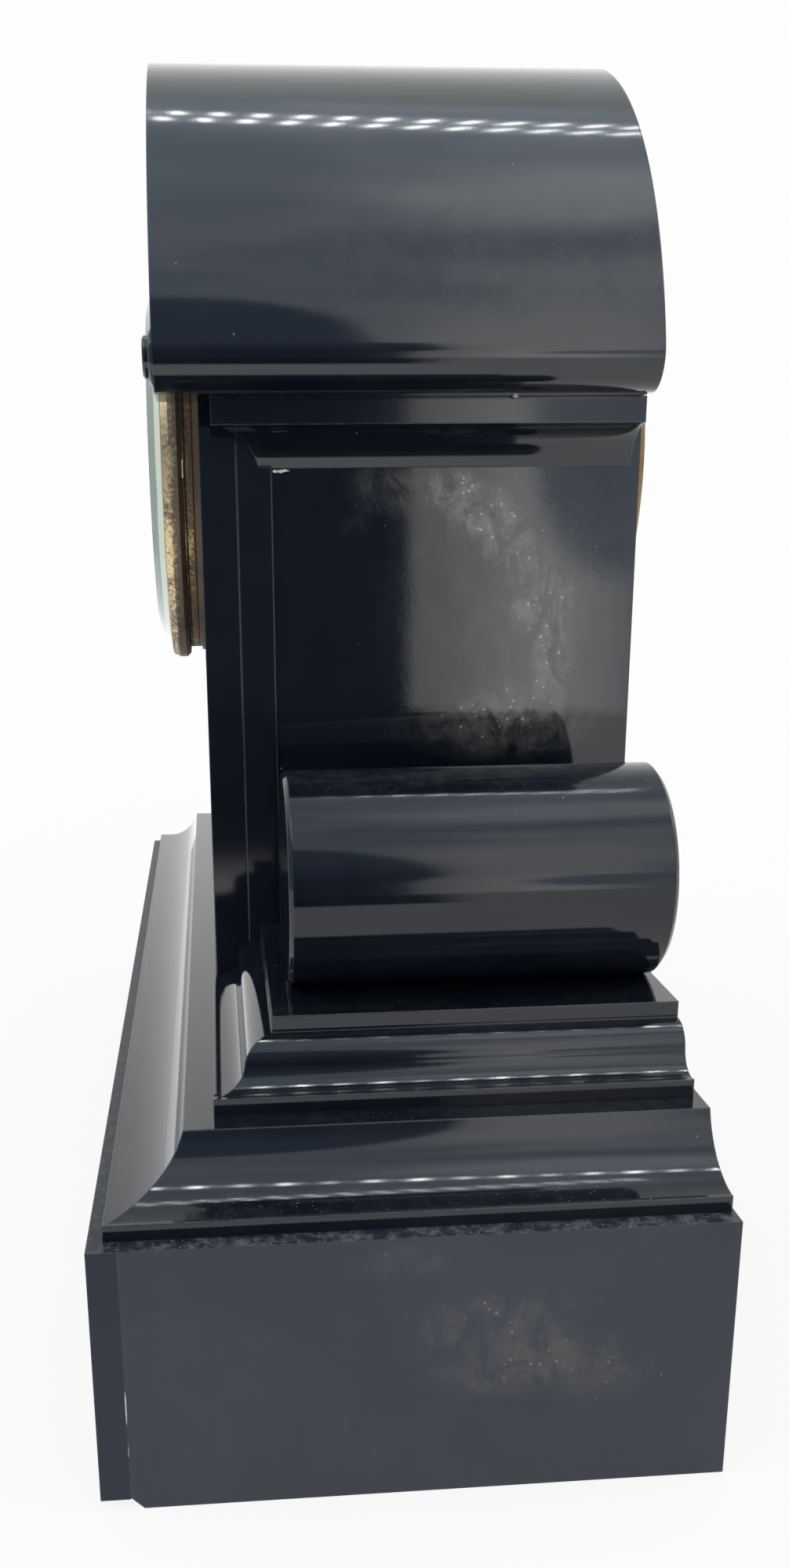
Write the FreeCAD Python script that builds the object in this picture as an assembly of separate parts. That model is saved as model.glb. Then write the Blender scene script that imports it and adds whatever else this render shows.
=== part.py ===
import FreeCAD, Part
import math
import os

# Black slate mantel clock with an arched hood and a round eight-day striking movement.
# Millimetres. X runs across the clock (+X is to the right of someone facing the dial),
# the dial faces -Y, and Z is up. The origin is on the table under the middle of the clock's
# width and of its whole depth, rear door and knob included.

# Base block
BASE_WIDTH = 400.0
BASE_DEPTH = 147.0
BASE_HEIGHT = 66.4
BASE_FRONT_THICKNESS = 7.0
BASE_FRONT_LIFT = 2.6
BASE_SIDE_THICKNESS = 12.0
BASE_BACK_THICKNESS = 10.0
BASE_BACK_SETBACK = 1.2
BASE_FOOT_BEVEL = 3.0

# Lower plinth slab: a cove on the front and the two sides, cut flush at the back
LOWER_FRONT_LEDGE = 3.6
LOWER_SIDE_LEDGE = 4.7
LOWER_BACK_LEDGE = 0.8
LOWER_HEIGHT = 17.8
LOWER_FILLET = 4.0
LOWER_STEP = 1.0
LOWER_RUN = 18.0
LOWER_COVE_INSET_SHARE = 0.66
LOWER_COVE_RISE_SHARE = 0.34

# Upper plinth slab: a fillet, an ogee and a top band
UPPER_FRONT_LEDGE = 28.8
UPPER_SIDE_LEDGE = 29.5
UPPER_BACK_LEDGE = 2.6
UPPER_HEIGHT = 19.3
UPPER_FILLET = 4.4
UPPER_STEP = 0.8
UPPER_RUN = 14.6
UPPER_BAND = 4.2
UPPER_TURN_SHARES = (0.53, 0.50)
UPPER_HOLLOW_SHARES = (0.36, 0.10)
UPPER_ROUND_SHARES = (0.67, 0.84)

# Body of the case
BODY_HALF_WIDTH = 77.6
FRONT_FACE_SETBACK = 30.0
FRONT_SLAB_THICKNESS = 10.0
BACKING_THICKNESS = 9.5
PANEL_RECESS = 1.0
PANEL_THICKNESS_SHARE = 0.4425
BODY_BACK_OVERHANG = 4.5
BACK_SLAB_THICKNESS = 8.0
SLAB_FIT = 0.3

# Hood: a thick stone arch on the axis of the dial
DIAL_HEIGHT = 234.8
HOOD_THICKNESS = 33.5
HOOD_FIT = 0.4
HOOD_FRONT_OVERHANG = 10.5
HOOD_BACK_SETBACK = 4.4
HOOD_FOOT_RISE = 14.7
HOOD_FOOT_ROUNDING = 9.0

# Cornices under the feet of the hood
CORNICE_HEIGHT = 17.2
CORNICE_PROJECTION_SHARE = 0.379
CORNICE_FILLET = 6.7
CORNICE_STEP = 0.8
CORNICE_COVE_SHARES = (0.31, 0.62)
CORNICE_RETURN_SETBACK = 3.5
CORNICE_BACK_SETBACK = 3.0

# Rolls beside the body
ROLL_WIDTH_SHARE = 0.696
ROLL_FLAT = 0.5
ROLL_INSET = 1.0
ROLL_FRONT_GAP = 1.2
ROLL_BACK_SETBACK = 1.0
ROLL_EDGE = 1.0

# Roundels on the feet of the arch
ROUNDEL_RISE = 24.0
ROUNDEL_BASE_RADIUS = 6.8
ROUNDEL_BASE_THICKNESS = 1.1
ROUNDEL_RADIUS = 5.2
ROUNDEL_THICKNESS = 1.6
ROUNDEL_ROUNDING = 0.5

# Bezel
CASE_HOLE_RADIUS = 53.5
SPIGOT_CLEARANCE = 0.5
SPIGOT_WALL = 2.0
SPIGOT_LENGTH = 8.5
BEZEL_OUTER_RADIUS = 57.2
BEZEL_OUTER_THICKNESS = 1.3
BEZEL_INNER_STEP = 1.0
BEZEL_INNER_THICKNESS = 3.6
DIAL_SEAT_WIDTH = 3.0
DIAL_SEAT_THICKNESS = 1.0
DOOR_GAP = 0.3
DOOR_RADIUS = 59.4
DOOR_BORE = 52.0
DOOR_THICKNESS = 4.5
DOOR_BEAD = 2.2
DOOR_LIP = 0.9
DOOR_LIP_WALL = 1.0
GLASS_RADIUS = 57.4
GLASS_THICKNESS = 5.0
GLASS_FLAT_RADIUS = 48.5
GLASS_LAND = 1.0
GLASS_CLEARANCE = 0.1
HINGE_PIN_RADIUS = 0.8
HINGE_CLEARANCE = 0.06
HINGE_KNUCKLE_RADIUS = 1.7
HINGE_KNUCKLE_LENGTH = 5.0
HINGE_KNUCKLE_GAP = 0.2
HINGE_KNUCKLE_COUNT = 3
HINGE_REACH = 2.2
HINGE_PIN_HEAD = 0.6

# Dial and hands
DIAL_CLEARANCE = 0.4
DIAL_THICKNESS = 1.2
DIAL_CENTRE_HOLE = 3.6
DIAL_KEY_HOLE = 4.0
DIAL_FOOT_RADIUS = 1.2
DIAL_FOOT_CIRCLE = 40.0
DIAL_FOOT_ANGLES = (90.0, 217.0, 323.0)
HAND_GAP = 0.9
HAND_THICKNESS = 0.6
HOUR_HAND_LENGTH = 27.0
HOUR_HAND_WIDTH = 3.0
HOUR_HAND_BEARING = 145.0
MINUTE_HAND_LENGTH = 41.0
MINUTE_HAND_WIDTH = 2.4
MINUTE_HAND_BEARING = 30.0
HAND_HUB_WALL = 1.6
HAND_LOOP_RADIUS = 4.2
HAND_LOOP_BORE = 2.7
HAND_LOOP_SHARE = 0.68
HAND_TIP_WIDTH_SHARE = 0.3

# Movement frame
PLATE_RADIUS = 46.0
PLATE_THICKNESS = 2.0
PLATE_GAP = 42.0
PLATE_BEHIND_DIAL = 12.8
PLATE_EAR_HEIGHT = 10.0
PILLAR_RADIUS = 2.5
PILLAR_PLACES = ((26.0, -35.0), (-26.0, -35.0), (24.0, 36.0), (-9.0, 42.5))
PILLAR_NUT_RADIUS = 2.6
PILLAR_NUT_LENGTH = 2.0
STRAP_OFFSET = 48.5
STRAP_THICKNESS = 2.0
STRAP_WIDTH = 9.0
STRAP_FRONT_SETBACK = 2.5
STRAP_BLOCK = 5.5
STRAP_SCREW_RADIUS = 1.5
STRAP_SCREW_HEAD_RADIUS = 2.6
STRAP_SCREW_HEAD = 2.0
STRAP_SCREW_GRIP = 4.0

# Pivots and arbors
PIVOT_RADIUS = 0.5
RUNNING_CLEARANCE = 0.06
ARBOR_RADIUS = 0.8
ARBOR_SHAKE = 0.3
SMALL_ARBOR_RADIUS = 0.5
SMALL_PIVOT_RADIUS = 0.35

# Barrels and winding arbors
BARREL_OFFSET = (22.0, -10.0)
BARREL_DRUM_RADIUS = 18.5
BARREL_DRUM_LENGTH = 20.0
BARREL_WALL = 1.2
BARREL_FRONT_GAP = 2.0
GREAT_WHEEL_THICKNESS = 2.0
WINDING_ARBOR_RADIUS = 2.2
WINDING_SQUARE = 3.0
WINDING_CORE_RADIUS = 5.0
WINDING_SQUARE_SETBACK = 0.4
WINDING_PIVOT_RADIUS = 1.5
RATCHET_RADIUS = 7.0
RATCHET_DEPTH = 0.9
RATCHET_TEETH = 24
RATCHET_THICKNESS = 1.4
RATCHET_GAP = 0.6
CLICK_GAP = 0.35
CLICK_LENGTH = 8.0
CLICK_WIDTH = 2.2
CLICK_SCREW_RADIUS = 1.6
SPRING_THICKNESS = 0.5
SPRING_END_GAP = 1.0
SPRING_TURNS = 6
SPRING_SIDE_GAP = 0.6

# Tooth numbers and modules of the going train
GREAT_TEETH = 84
GREAT_MODULE = 0.5
SECOND_LEAVES = 12
SECOND_TEETH = 64
SECOND_MODULE = 0.5
CENTRE_LEAVES = 10
CENTRE_TEETH = 84
CENTRE_MODULE = 0.38
THIRD_LEAVES = 7
THIRD_TEETH = 84
THIRD_MODULE = 0.34
ESCAPE_LEAVES = 6
ESCAPE_TEETH = 30
ESCAPE_RADIUS = 8.0
ESCAPE_DEPTH = 1.5
ESCAPE_HEIGHT = 24.0

# Tooth numbers and modules of the striking train
STRIKE_SECOND_TEETH = 60
STRIKE_SECOND_MODULE = 0.34
PIN_LEAVES = 10
PIN_TEETH = 56
PIN_MODULE = 0.28
WARNING_LEAVES = 7
WARNING_TEETH = 50
WARNING_MODULE = 0.26
FLY_LEAVES = 6
STRIKE_SECOND_BEARING = 115.0
PIN_BEARING = 75.0
WARNING_BEARING = 20.0
FLY_BEARING = 30.0
PIN_COUNT = 8
PIN_CIRCLE = 6.0
PIN_RADIUS = 0.4
PIN_LENGTH = 2.2
FLY_VANE_RADIUS = 5.8
FLY_VANE_LENGTH = 16.0
FLY_VANE_THICKNESS = 0.5

# Motion work under the dial
CANNON_LEAVES = 12
MINUTE_TEETH = 36
MOTION_MODULE = 0.5
MINUTE_LEAVES = 10
HOUR_TEETH = 40
CANNON_PIPE_RADIUS = 2.0
HOUR_PIPE_RADIUS = 2.8
CENTRE_ARBOR_RADIUS = 1.05
MOTION_GAP = 0.6

# Wheels in general
WHEEL_THICKNESS = 1.2
PINION_LENGTH = 3.4
WHEEL_STEP = 3.6
RIM_WIDTH = 1.6
HUB_RADIUS = 2.6
SPOKE_WIDTH = 1.1
SPOKE_COUNT = 5
TOOTH_TIP_SHARE = 0.85
TOOTH_ROOT_SHARE = 1.3
TOOTH_WIDTH_SHARES = (0.46, 0.42, 0.14)
LEAF_TIP_SHARE = 0.45
LEAF_ROOT_SHARE = 1.35
LEAF_WIDTH_SHARES = (0.26, 0.30, 0.14)

# Escapement, suspension and pendulum
PALLET_ARBOR_ABOVE_ESCAPE = 11.3
PALLET_GAP = 0.9
PALLET_ARM_WIDTH = 1.6
PALLET_REACH_SHARE = 0.62
PALLET_THICKNESS = 1.4
CRUTCH_THICKNESS = 1.2
CRUTCH_WIDTH = 2.0
CRUTCH_LENGTH = 32.0
CRUTCH_PIN_RADIUS = 0.7
CRUTCH_GAP = 1.2
COCK_THICKNESS = 1.6
COCK_HALF_WIDTH = 9.0
COCK_FOOT_WIDTH = 2.4
COCK_HEIGHT = 5.0
COCK_GAP = 1.6
PENDULUM_SETBACK = 10.0
PENDULUM_FOOT_GAP = 9.8
PENDULUM_ROD_WIDTH = 2.5
PENDULUM_ROD_THICKNESS = 2.0
PENDULUM_EYE_HALF_WIDTH = 2.6
PENDULUM_EYE_HEIGHT = 9.0
PENDULUM_HEAD_WIDTH = 5.0
PENDULUM_HEAD_DEPTH = 6.0
PENDULUM_HEAD_TOP = 1.3
PENDULUM_HEAD_HEIGHT = 7.0
PENDULUM_TAIL = 30.0
BOB_RADIUS = 19.0
BOB_THICKNESS = 10.0
BOB_EDGE = 1.6
NUT_RADIUS = 3.6
NUT_HEIGHT = 3.4
NUT_GAP = 0.3
SUSPENSION_WIDTH = 5.0
SUSPENSION_THICKNESS = 0.2
SUSPENSION_BELOW = 4.3
SUSPENSION_SLOT_SIDE = 0.4
SUSPENSION_COCK_HALF_WIDTH = 4.0
SUSPENSION_COCK_RISE = 4.4
SUSPENSION_COCK_HEIGHT = 5.0

# Bell and hammer
BELL_RADIUS = 34.0
BELL_WALL = 1.6
BELL_DEPTH = 20.0
BELL_SHOULDER = 4.8
BELL_CROWN_RADIUS = 14.0
BELL_SETBACK = 21.0
BELL_BORE = 2.0
BELL_STUD_RADIUS = 1.9
BELL_STUD_PROUD = 5.0
BELL_NUT_RADIUS = 3.6
BELL_NUT_HEIGHT = 2.6
BELL_FOOT = (-33.0, -18.0)
BELL_FOOT_RADIUS = 4.0
BELL_FOOT_THICKNESS = 1.6
BELL_POST_RADIUS = 2.0
BELL_ARM_THICKNESS = 2.4
BELL_ARM_WIDTH = 5.0
HAMMER_PLACE = (-17.5, 38.0)
HAMMER_ARBOR_RADIUS = 1.0
HAMMER_ARM_WIDTH = 1.8
HAMMER_ARM_THICKNESS = 1.8
HAMMER_HEAD_RADIUS = 3.4
HAMMER_HEAD_LENGTH = 8.0
HAMMER_HEAD_BEARING = 143.8
HAMMER_HEAD_GAP = 0.6
HAMMER_TAIL_GAP = 0.4
HAMMER_DEPTH_IN_BELL = 5.0

# Rear ring and door
REAR_HOLE_RADIUS = 54.0
REAR_RING_RADIUS = 60.0
REAR_RING_THICKNESS = 2.0
REAR_SPIGOT_LENGTH = 6.0
REAR_SPIGOT_WALL = 2.2
REAR_LUG_THICKNESS = 2.6
REAR_DOOR_RADIUS = 58.4
REAR_DOOR_THICKNESS = 1.4
REAR_DOOR_RIM = 4.4
REAR_DOOR_RIM_WALL = 2.4
REAR_DOOR_KNOB_RADIUS = 3.2
REAR_DOOR_KNOB_PROUD = 3.6

OVERRUN = 2.0

# Places worked out from the sizes
REAR_DOOR_PROUD = REAR_RING_THICKNESS + DOOR_GAP + REAR_DOOR_RIM + REAR_DOOR_KNOB_PROUD
FRONT_Y = -(BASE_DEPTH + BODY_BACK_OVERHANG + REAR_DOOR_PROUD) / 2
BACK_Y = FRONT_Y + BASE_DEPTH
LOWER_TOP = BASE_HEIGHT + LOWER_HEIGHT
UPPER_TOP = LOWER_TOP + UPPER_HEIGHT
SLAB_FRONT_Y = FRONT_Y + FRONT_FACE_SETBACK
SLAB_SEAM_Y = SLAB_FRONT_Y + FRONT_SLAB_THICKNESS
SLAB_REAR_Y = SLAB_SEAM_Y + BACKING_THICKNESS
SLAB_FOOT = LOWER_TOP + UPPER_FILLET
BODY_BACK_Y = BACK_Y + BODY_BACK_OVERHANG
PANEL_OUTER = BODY_HALF_WIDTH - PANEL_RECESS
PANEL_THICKNESS = (PANEL_OUTER - REAR_HOLE_RADIUS) * PANEL_THICKNESS_SHARE
PANEL_INNER = PANEL_OUTER - PANEL_THICKNESS
HOOD_FRONT_Y = SLAB_FRONT_Y - HOOD_FRONT_OVERHANG
HOOD_BACK_Y = BODY_BACK_Y - HOOD_BACK_SETBACK
HOOD_FOOT = DIAL_HEIGHT + HOOD_FOOT_RISE
HOOD_BORE = BODY_HALF_WIDTH + HOOD_FIT
HOOD_RADIUS = HOOD_BORE + HOOD_THICKNESS
CORNICE_PROJECTION = HOOD_THICKNESS * CORNICE_PROJECTION_SHARE
PLINTH_EDGE = BASE_WIDTH / 2 - UPPER_SIDE_LEDGE - UPPER_RUN
ROLL_RADIUS = (PLINTH_EDGE - PANEL_OUTER) * ROLL_WIDTH_SHARE / 2

BEZEL_FRONT_Y = SLAB_FRONT_Y - BEZEL_OUTER_THICKNESS - BEZEL_INNER_THICKNESS
SPIGOT_RADIUS = CASE_HOLE_RADIUS - SPIGOT_CLEARANCE
SPIGOT_BORE = SPIGOT_RADIUS - SPIGOT_WALL
DOOR_BACK_Y = BEZEL_FRONT_Y - DOOR_GAP
DOOR_FRONT_Y = DOOR_BACK_Y - DOOR_THICKNESS
GLASS_BACK_Y = DOOR_FRONT_Y
GLASS_FRONT_Y = GLASS_BACK_Y - GLASS_THICKNESS
DIAL_RADIUS = SPIGOT_BORE - DIAL_CLEARANCE
DIAL_BACK_Y = SLAB_FRONT_Y - DIAL_SEAT_THICKNESS
DIAL_FRONT_Y = DIAL_BACK_Y - DIAL_THICKNESS
HOUR_HAND_Y = DIAL_FRONT_Y - HAND_GAP - HAND_THICKNESS
MINUTE_HAND_Y = HOUR_HAND_Y - HAND_GAP - HAND_THICKNESS
DOOR_HINGE_X = -(DOOR_RADIUS + HINGE_REACH)
DOOR_HINGE_Y = DOOR_BACK_Y + DOOR_GAP / 2

PLATE_FRONT_Y = DIAL_BACK_Y + PLATE_BEHIND_DIAL
GAP_FRONT_Y = PLATE_FRONT_Y + PLATE_THICKNESS
GAP_BACK_Y = GAP_FRONT_Y + PLATE_GAP
PLATE_BACK_Y = GAP_BACK_Y + PLATE_THICKNESS
PENDULUM_Y = PLATE_BACK_Y + PENDULUM_SETBACK

DRUM_FRONT_Y = GAP_FRONT_Y + BARREL_FRONT_GAP
GREAT_Y = DRUM_FRONT_Y + BARREL_DRUM_LENGTH
SECOND_PINION_Y = GREAT_Y + (GREAT_WHEEL_THICKNESS - PINION_LENGTH) / 2
SECOND_Y = SECOND_PINION_Y + PINION_LENGTH + WHEEL_THICKNESS
CENTRE_Y = SECOND_Y + WHEEL_STEP
THIRD_Y = CENTRE_Y + WHEEL_STEP
ESCAPE_Y = THIRD_Y + WHEEL_STEP
RATCHET_Y = PLATE_FRONT_Y - RATCHET_GAP - RATCHET_THICKNESS
CANNON_Y = PLATE_FRONT_Y - MOTION_GAP - PINION_LENGTH
MINUTE_WHEEL_Y = CANNON_Y + (PINION_LENGTH - WHEEL_THICKNESS) / 2
MINUTE_PINION_Y = MINUTE_WHEEL_Y - PINION_LENGTH
HOUR_WHEEL_Y = MINUTE_PINION_Y + MOTION_GAP
PALLET_Y = ESCAPE_Y + (WHEEL_THICKNESS - PALLET_THICKNESS) / 2
CRUTCH_Y = PLATE_BACK_Y + CRUTCH_GAP
COCK_Y = CRUTCH_Y + CRUTCH_THICKNESS + COCK_GAP

BELL_RIM_Y = PLATE_BACK_Y + BELL_SETBACK
BELL_CROWN_Y = BELL_RIM_Y + BELL_DEPTH
BELL_ARM_Y = BELL_RIM_Y - BELL_ARM_THICKNESS - BELL_WALL
HAMMER_Y = BELL_RIM_Y + HAMMER_DEPTH_IN_BELL

REAR_FACE_Y = BODY_BACK_Y + REAR_RING_THICKNESS
REAR_DOOR_Y = REAR_FACE_Y + DOOR_GAP
REAR_HINGE_X = -(REAR_RING_RADIUS + HINGE_REACH)
REAR_HINGE_Y = REAR_FACE_Y + DOOR_GAP / 2


def vec(x, y, z):
    return FreeCAD.Vector(x, y, z)


def block(x0, x1, y0, y1, z0, z1):
    """A box between two values on each axis."""
    return Part.makeBox(x1 - x0, y1 - y0, z1 - z0, vec(x0, y0, z0))


def rod_y(place, radius, y0, y1):
    """A cylinder along Y; place is (x, z)."""
    return Part.makeCylinder(radius, y1 - y0, vec(place[0], y0, place[1]), vec(0, 1, 0))


def tube_y(place, outer, inner, y0, y1):
    return rod_y(place, outer, y0, y1).cut(rod_y(place, inner, y0 - OVERRUN, y1 + OVERRUN))


def prism_y(points, y0, y1):
    """An (x, z) polygon, pushed from y0 to y1."""
    corners = [vec(x, y0, z) for x, z in points]
    wire = Part.makePolygon(corners + corners[:1])
    return Part.Face(wire).extrude(vec(0, y1 - y0, 0))


def turned_y(place, outline):
    """A (radius, y) outline turned round the Y axis through place."""
    corners = [vec(place[0] + radius, y, place[1]) for radius, y in outline]
    face = Part.Face(Part.makePolygon(corners + corners[:1]))
    return face.revolve(vec(place[0], 0, place[1]), vec(0, 1, 0), 360)


def fused(pieces):
    first = pieces[0]
    return first.multiFuse(pieces[1:]).removeSplitter()


def mirrored(shape):
    return shape.mirror(vec(0, 0, 0), vec(1, 0, 0))


def at(place, bearing, distance):
    """The place at a distance on a bearing, in degrees up from +X."""
    angle = math.radians(bearing)
    return (place[0] + distance * math.cos(angle), place[1] + distance * math.sin(angle))


def raised(place):
    """A place given from the dial's centre, in the clock's frame."""
    return (place[0], DIAL_HEIGHT + place[1])


def run_edges(start, steps, put):
    """Edges through (middle or None, end) steps; put sets a section's point in space."""
    edges = []
    here = start
    for middle, end in steps:
        if middle is None:
            edges.append(Part.makeLine(put(here), put(end)))
        else:
            edges.append(Part.Arc(put(here), put(middle), put(end)).toShape())
        here = end
    return edges


def face_of(edges):
    return Part.Face(Part.Wire(Part.__sortEdges__(edges)))


def between(start, end, shares):
    return tuple(a + (b - a) * share for a, b, share in zip(start, end, shares))


def moulded_slab(half_width, front_y, back_y, foot, steps):
    """A slab moulded on its front and both sides; steps start at (0, 0), inset by rise."""
    top = steps[-1][1]

    def on_front(point):
        return vec(-half_width, front_y + point[0], foot + point[1])

    def on_right(point):
        return vec(half_width - point[0], front_y, foot + point[1])

    def on_left(point):
        return vec(point[0] - half_width, front_y, foot + point[1])

    back_top = vec(-half_width, back_y, foot + top[1])
    back_foot = vec(-half_width, back_y, foot)
    long_edges = run_edges((0, 0), steps, on_front)
    long_edges.append(Part.makeLine(on_front(top), back_top))
    long_edges.append(Part.makeLine(back_top, back_foot))
    long_edges.append(Part.makeLine(back_foot, on_front((0, 0))))
    along = face_of(long_edges).extrude(vec(2 * half_width, 0, 0))
    cross_edges = run_edges((0, 0), steps, on_right) + run_edges((0, 0), steps, on_left)
    cross_edges.append(Part.makeLine(on_right(top), on_left(top)))
    cross_edges.append(Part.makeLine(on_right((0, 0)), on_left((0, 0))))
    across = face_of(cross_edges).extrude(vec(0, back_y - front_y, 0))
    return along.common(across)


def gear_points(teeth, module, phase, tip_share, root_share, width_shares):
    """Corners of a toothed outline about (0, 0); phase is the bearing of its first tooth."""
    pitch_radius = teeth * module / 2
    radii = (pitch_radius - root_share * module, pitch_radius, pitch_radius + tip_share * module)
    pitch = 2 * math.pi / teeth
    points = []
    for tooth in range(teeth):
        middle = math.radians(phase) + tooth * pitch
        for radius, share in zip(radii, width_shares):
            turn = middle - share * pitch / 2
            points.append((radius * math.cos(turn), radius * math.sin(turn)))
        for radius, share in reversed(list(zip(radii, width_shares))):
            turn = middle + share * pitch / 2
            points.append((radius * math.cos(turn), radius * math.sin(turn)))
    return points


def moved(points, place):
    return [(place[0] + x, place[1] + z) for x, z in points]


def wheel_points(teeth, module, phase):
    return gear_points(teeth, module, phase, TOOTH_TIP_SHARE, TOOTH_ROOT_SHARE, TOOTH_WIDTH_SHARES)


def leaf_points(leaves, module, phase):
    return gear_points(leaves, module, phase, LEAF_TIP_SHARE, LEAF_ROOT_SHARE, LEAF_WIDTH_SHARES)


def mesh_phase(driver, follower, driver_teeth, driver_phase, follower_teeth):
    """The follower's phase that puts its gap where the driver's tooth is."""
    bearing = math.degrees(math.atan2(follower[1] - driver[1], follower[0] - driver[0]))
    offset = (driver_phase - bearing) * driver_teeth / 360
    return bearing + 180 - 360 / follower_teeth * (offset + 1 / 2)


def crossed_out(place, root_radius, hub_radius, rim_width, y0, y1):
    """The windows between a wheel's spokes."""
    outer = root_radius - rim_width
    windows = tube_y(place, outer, hub_radius, y0 - OVERRUN, y1 + OVERRUN)
    for index in range(SPOKE_COUNT):
        spoke = block(0, outer + OVERRUN, y0 - OVERRUN, y1 + OVERRUN, -SPOKE_WIDTH / 2, SPOKE_WIDTH / 2)
        spoke.rotate(vec(0, 0, 0), vec(0, 1, 0), 360 * index / SPOKE_COUNT)
        spoke.translate(vec(place[0], 0, place[1]))
        windows = windows.cut(spoke)
    return windows


def toothed_wheel(place, teeth, module, phase, y0, hub_radius=HUB_RADIUS):
    """A crossed-out brass wheel."""
    disc = prism_y(moved(wheel_points(teeth, module, phase), place), y0, y0 + WHEEL_THICKNESS)
    root_radius = teeth * module / 2 - TOOTH_ROOT_SHARE * module
    return disc.cut(crossed_out(place, root_radius, hub_radius, RIM_WIDTH, y0, y0 + WHEEL_THICKNESS))


def pinion(place, leaves, module, phase, y0):
    return prism_y(moved(leaf_points(leaves, module, phase), place), y0, y0 + PINION_LENGTH)


def arbor(place, radius, pivot_radius, front_y=GAP_FRONT_Y, back_y=GAP_BACK_Y):
    """A straight arbor between the plates, with a pivot in each plate."""
    body = rod_y(place, radius, front_y + ARBOR_SHAKE, back_y - ARBOR_SHAKE)
    pivot_reach = PLATE_THICKNESS - ARBOR_SHAKE
    pivots = rod_y(place, pivot_radius, front_y - pivot_reach, back_y + pivot_reach)
    return body.fuse(pivots)


CENTRE = raised((0, 0))
GOING_BARREL = raised(BARREL_OFFSET)
STRIKE_BARREL = raised((-BARREL_OFFSET[0], BARREL_OFFSET[1]))
SECOND_TO_GREAT = GREAT_MODULE * (GREAT_TEETH + SECOND_LEAVES) / 2
SECOND_TO_CENTRE = SECOND_MODULE * (SECOND_TEETH + CENTRE_LEAVES) / 2
THIRD_TO_CENTRE = CENTRE_MODULE * (CENTRE_TEETH + THIRD_LEAVES) / 2
THIRD_TO_ESCAPE = THIRD_MODULE * (THIRD_TEETH + ESCAPE_LEAVES) / 2


def crossing(first, first_distance, second, second_distance):
    """The place at set distances from two others, on the left of the line from first to second."""
    gap = math.dist(first, second)
    along = (first_distance ** 2 - second_distance ** 2 + gap ** 2) / (2 * gap)
    aside = math.sqrt(first_distance ** 2 - along ** 2)
    bearing = math.degrees(math.atan2(second[1] - first[1], second[0] - first[0]))
    return at(at(first, bearing, along), bearing + 90, aside)


ESCAPE = raised((0, ESCAPE_HEIGHT))
SECOND = crossing(CENTRE, SECOND_TO_CENTRE, GOING_BARREL, SECOND_TO_GREAT)
THIRD = crossing(CENTRE, THIRD_TO_CENTRE, ESCAPE, THIRD_TO_ESCAPE)
PALLET = (ESCAPE[0], ESCAPE[1] + PALLET_ARBOR_ABOVE_ESCAPE)
STRIKE_SECOND = at(STRIKE_BARREL, STRIKE_SECOND_BEARING, SECOND_TO_GREAT)
PIN_WHEEL = at(STRIKE_SECOND, PIN_BEARING, STRIKE_SECOND_MODULE * (STRIKE_SECOND_TEETH + PIN_LEAVES) / 2)
WARNING = at(PIN_WHEEL, WARNING_BEARING, PIN_MODULE * (PIN_TEETH + WARNING_LEAVES) / 2)
FLY = at(WARNING, FLY_BEARING, WARNING_MODULE * (WARNING_TEETH + FLY_LEAVES) / 2)
HAMMER = raised(HAMMER_PLACE)
MINUTE_WHEEL = (CENTRE[0], CENTRE[1] - MOTION_MODULE * (CANNON_LEAVES + MINUTE_TEETH) / 2)
HOUR_MODULE = MOTION_MODULE * (CANNON_LEAVES + MINUTE_TEETH) / (MINUTE_LEAVES + HOUR_TEETH)


def base_block():
    """Four slabs round a hollow; the lower plinth slab closes it."""
    half = BASE_WIDTH / 2
    seam_y = FRONT_Y + BASE_FRONT_THICKNESS
    front = block(-half, half, FRONT_Y, seam_y, BASE_FRONT_LIFT, BASE_HEIGHT)
    side_face = Part.Face(Part.makePolygon([
        vec(half, seam_y, BASE_FOOT_BEVEL),
        vec(half, seam_y + BASE_FOOT_BEVEL, 0),
        vec(half, BACK_Y, 0),
        vec(half, BACK_Y, BASE_HEIGHT),
        vec(half, seam_y, BASE_HEIGHT),
        vec(half, seam_y, BASE_FOOT_BEVEL),
    ]))
    right = side_face.extrude(vec(-BASE_SIDE_THICKNESS, 0, 0))
    inner = half - BASE_SIDE_THICKNESS
    rear_y = BACK_Y - BASE_BACK_SETBACK
    back = block(-inner, inner, rear_y - BASE_BACK_THICKNESS, rear_y, 0, BASE_HEIGHT)
    return {
        "base_front_slab": front,
        "base_right_slab": right,
        "base_left_slab": mirrored(right),
        "base_back_slab": back,
    }


def lower_plinth():
    foot = (LOWER_STEP, LOWER_FILLET)
    top = (LOWER_RUN, LOWER_HEIGHT)
    cove = between(foot, top, (LOWER_COVE_INSET_SHARE, LOWER_COVE_RISE_SHARE))
    steps = [(None, (0, LOWER_FILLET)), (None, foot), (cove, top)]
    half = BASE_WIDTH / 2 - LOWER_SIDE_LEDGE
    slab = moulded_slab(half, FRONT_Y + LOWER_FRONT_LEDGE, BACK_Y - LOWER_BACK_LEDGE, BASE_HEIGHT, steps)
    return {"lower_plinth_slab": slab}


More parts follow.
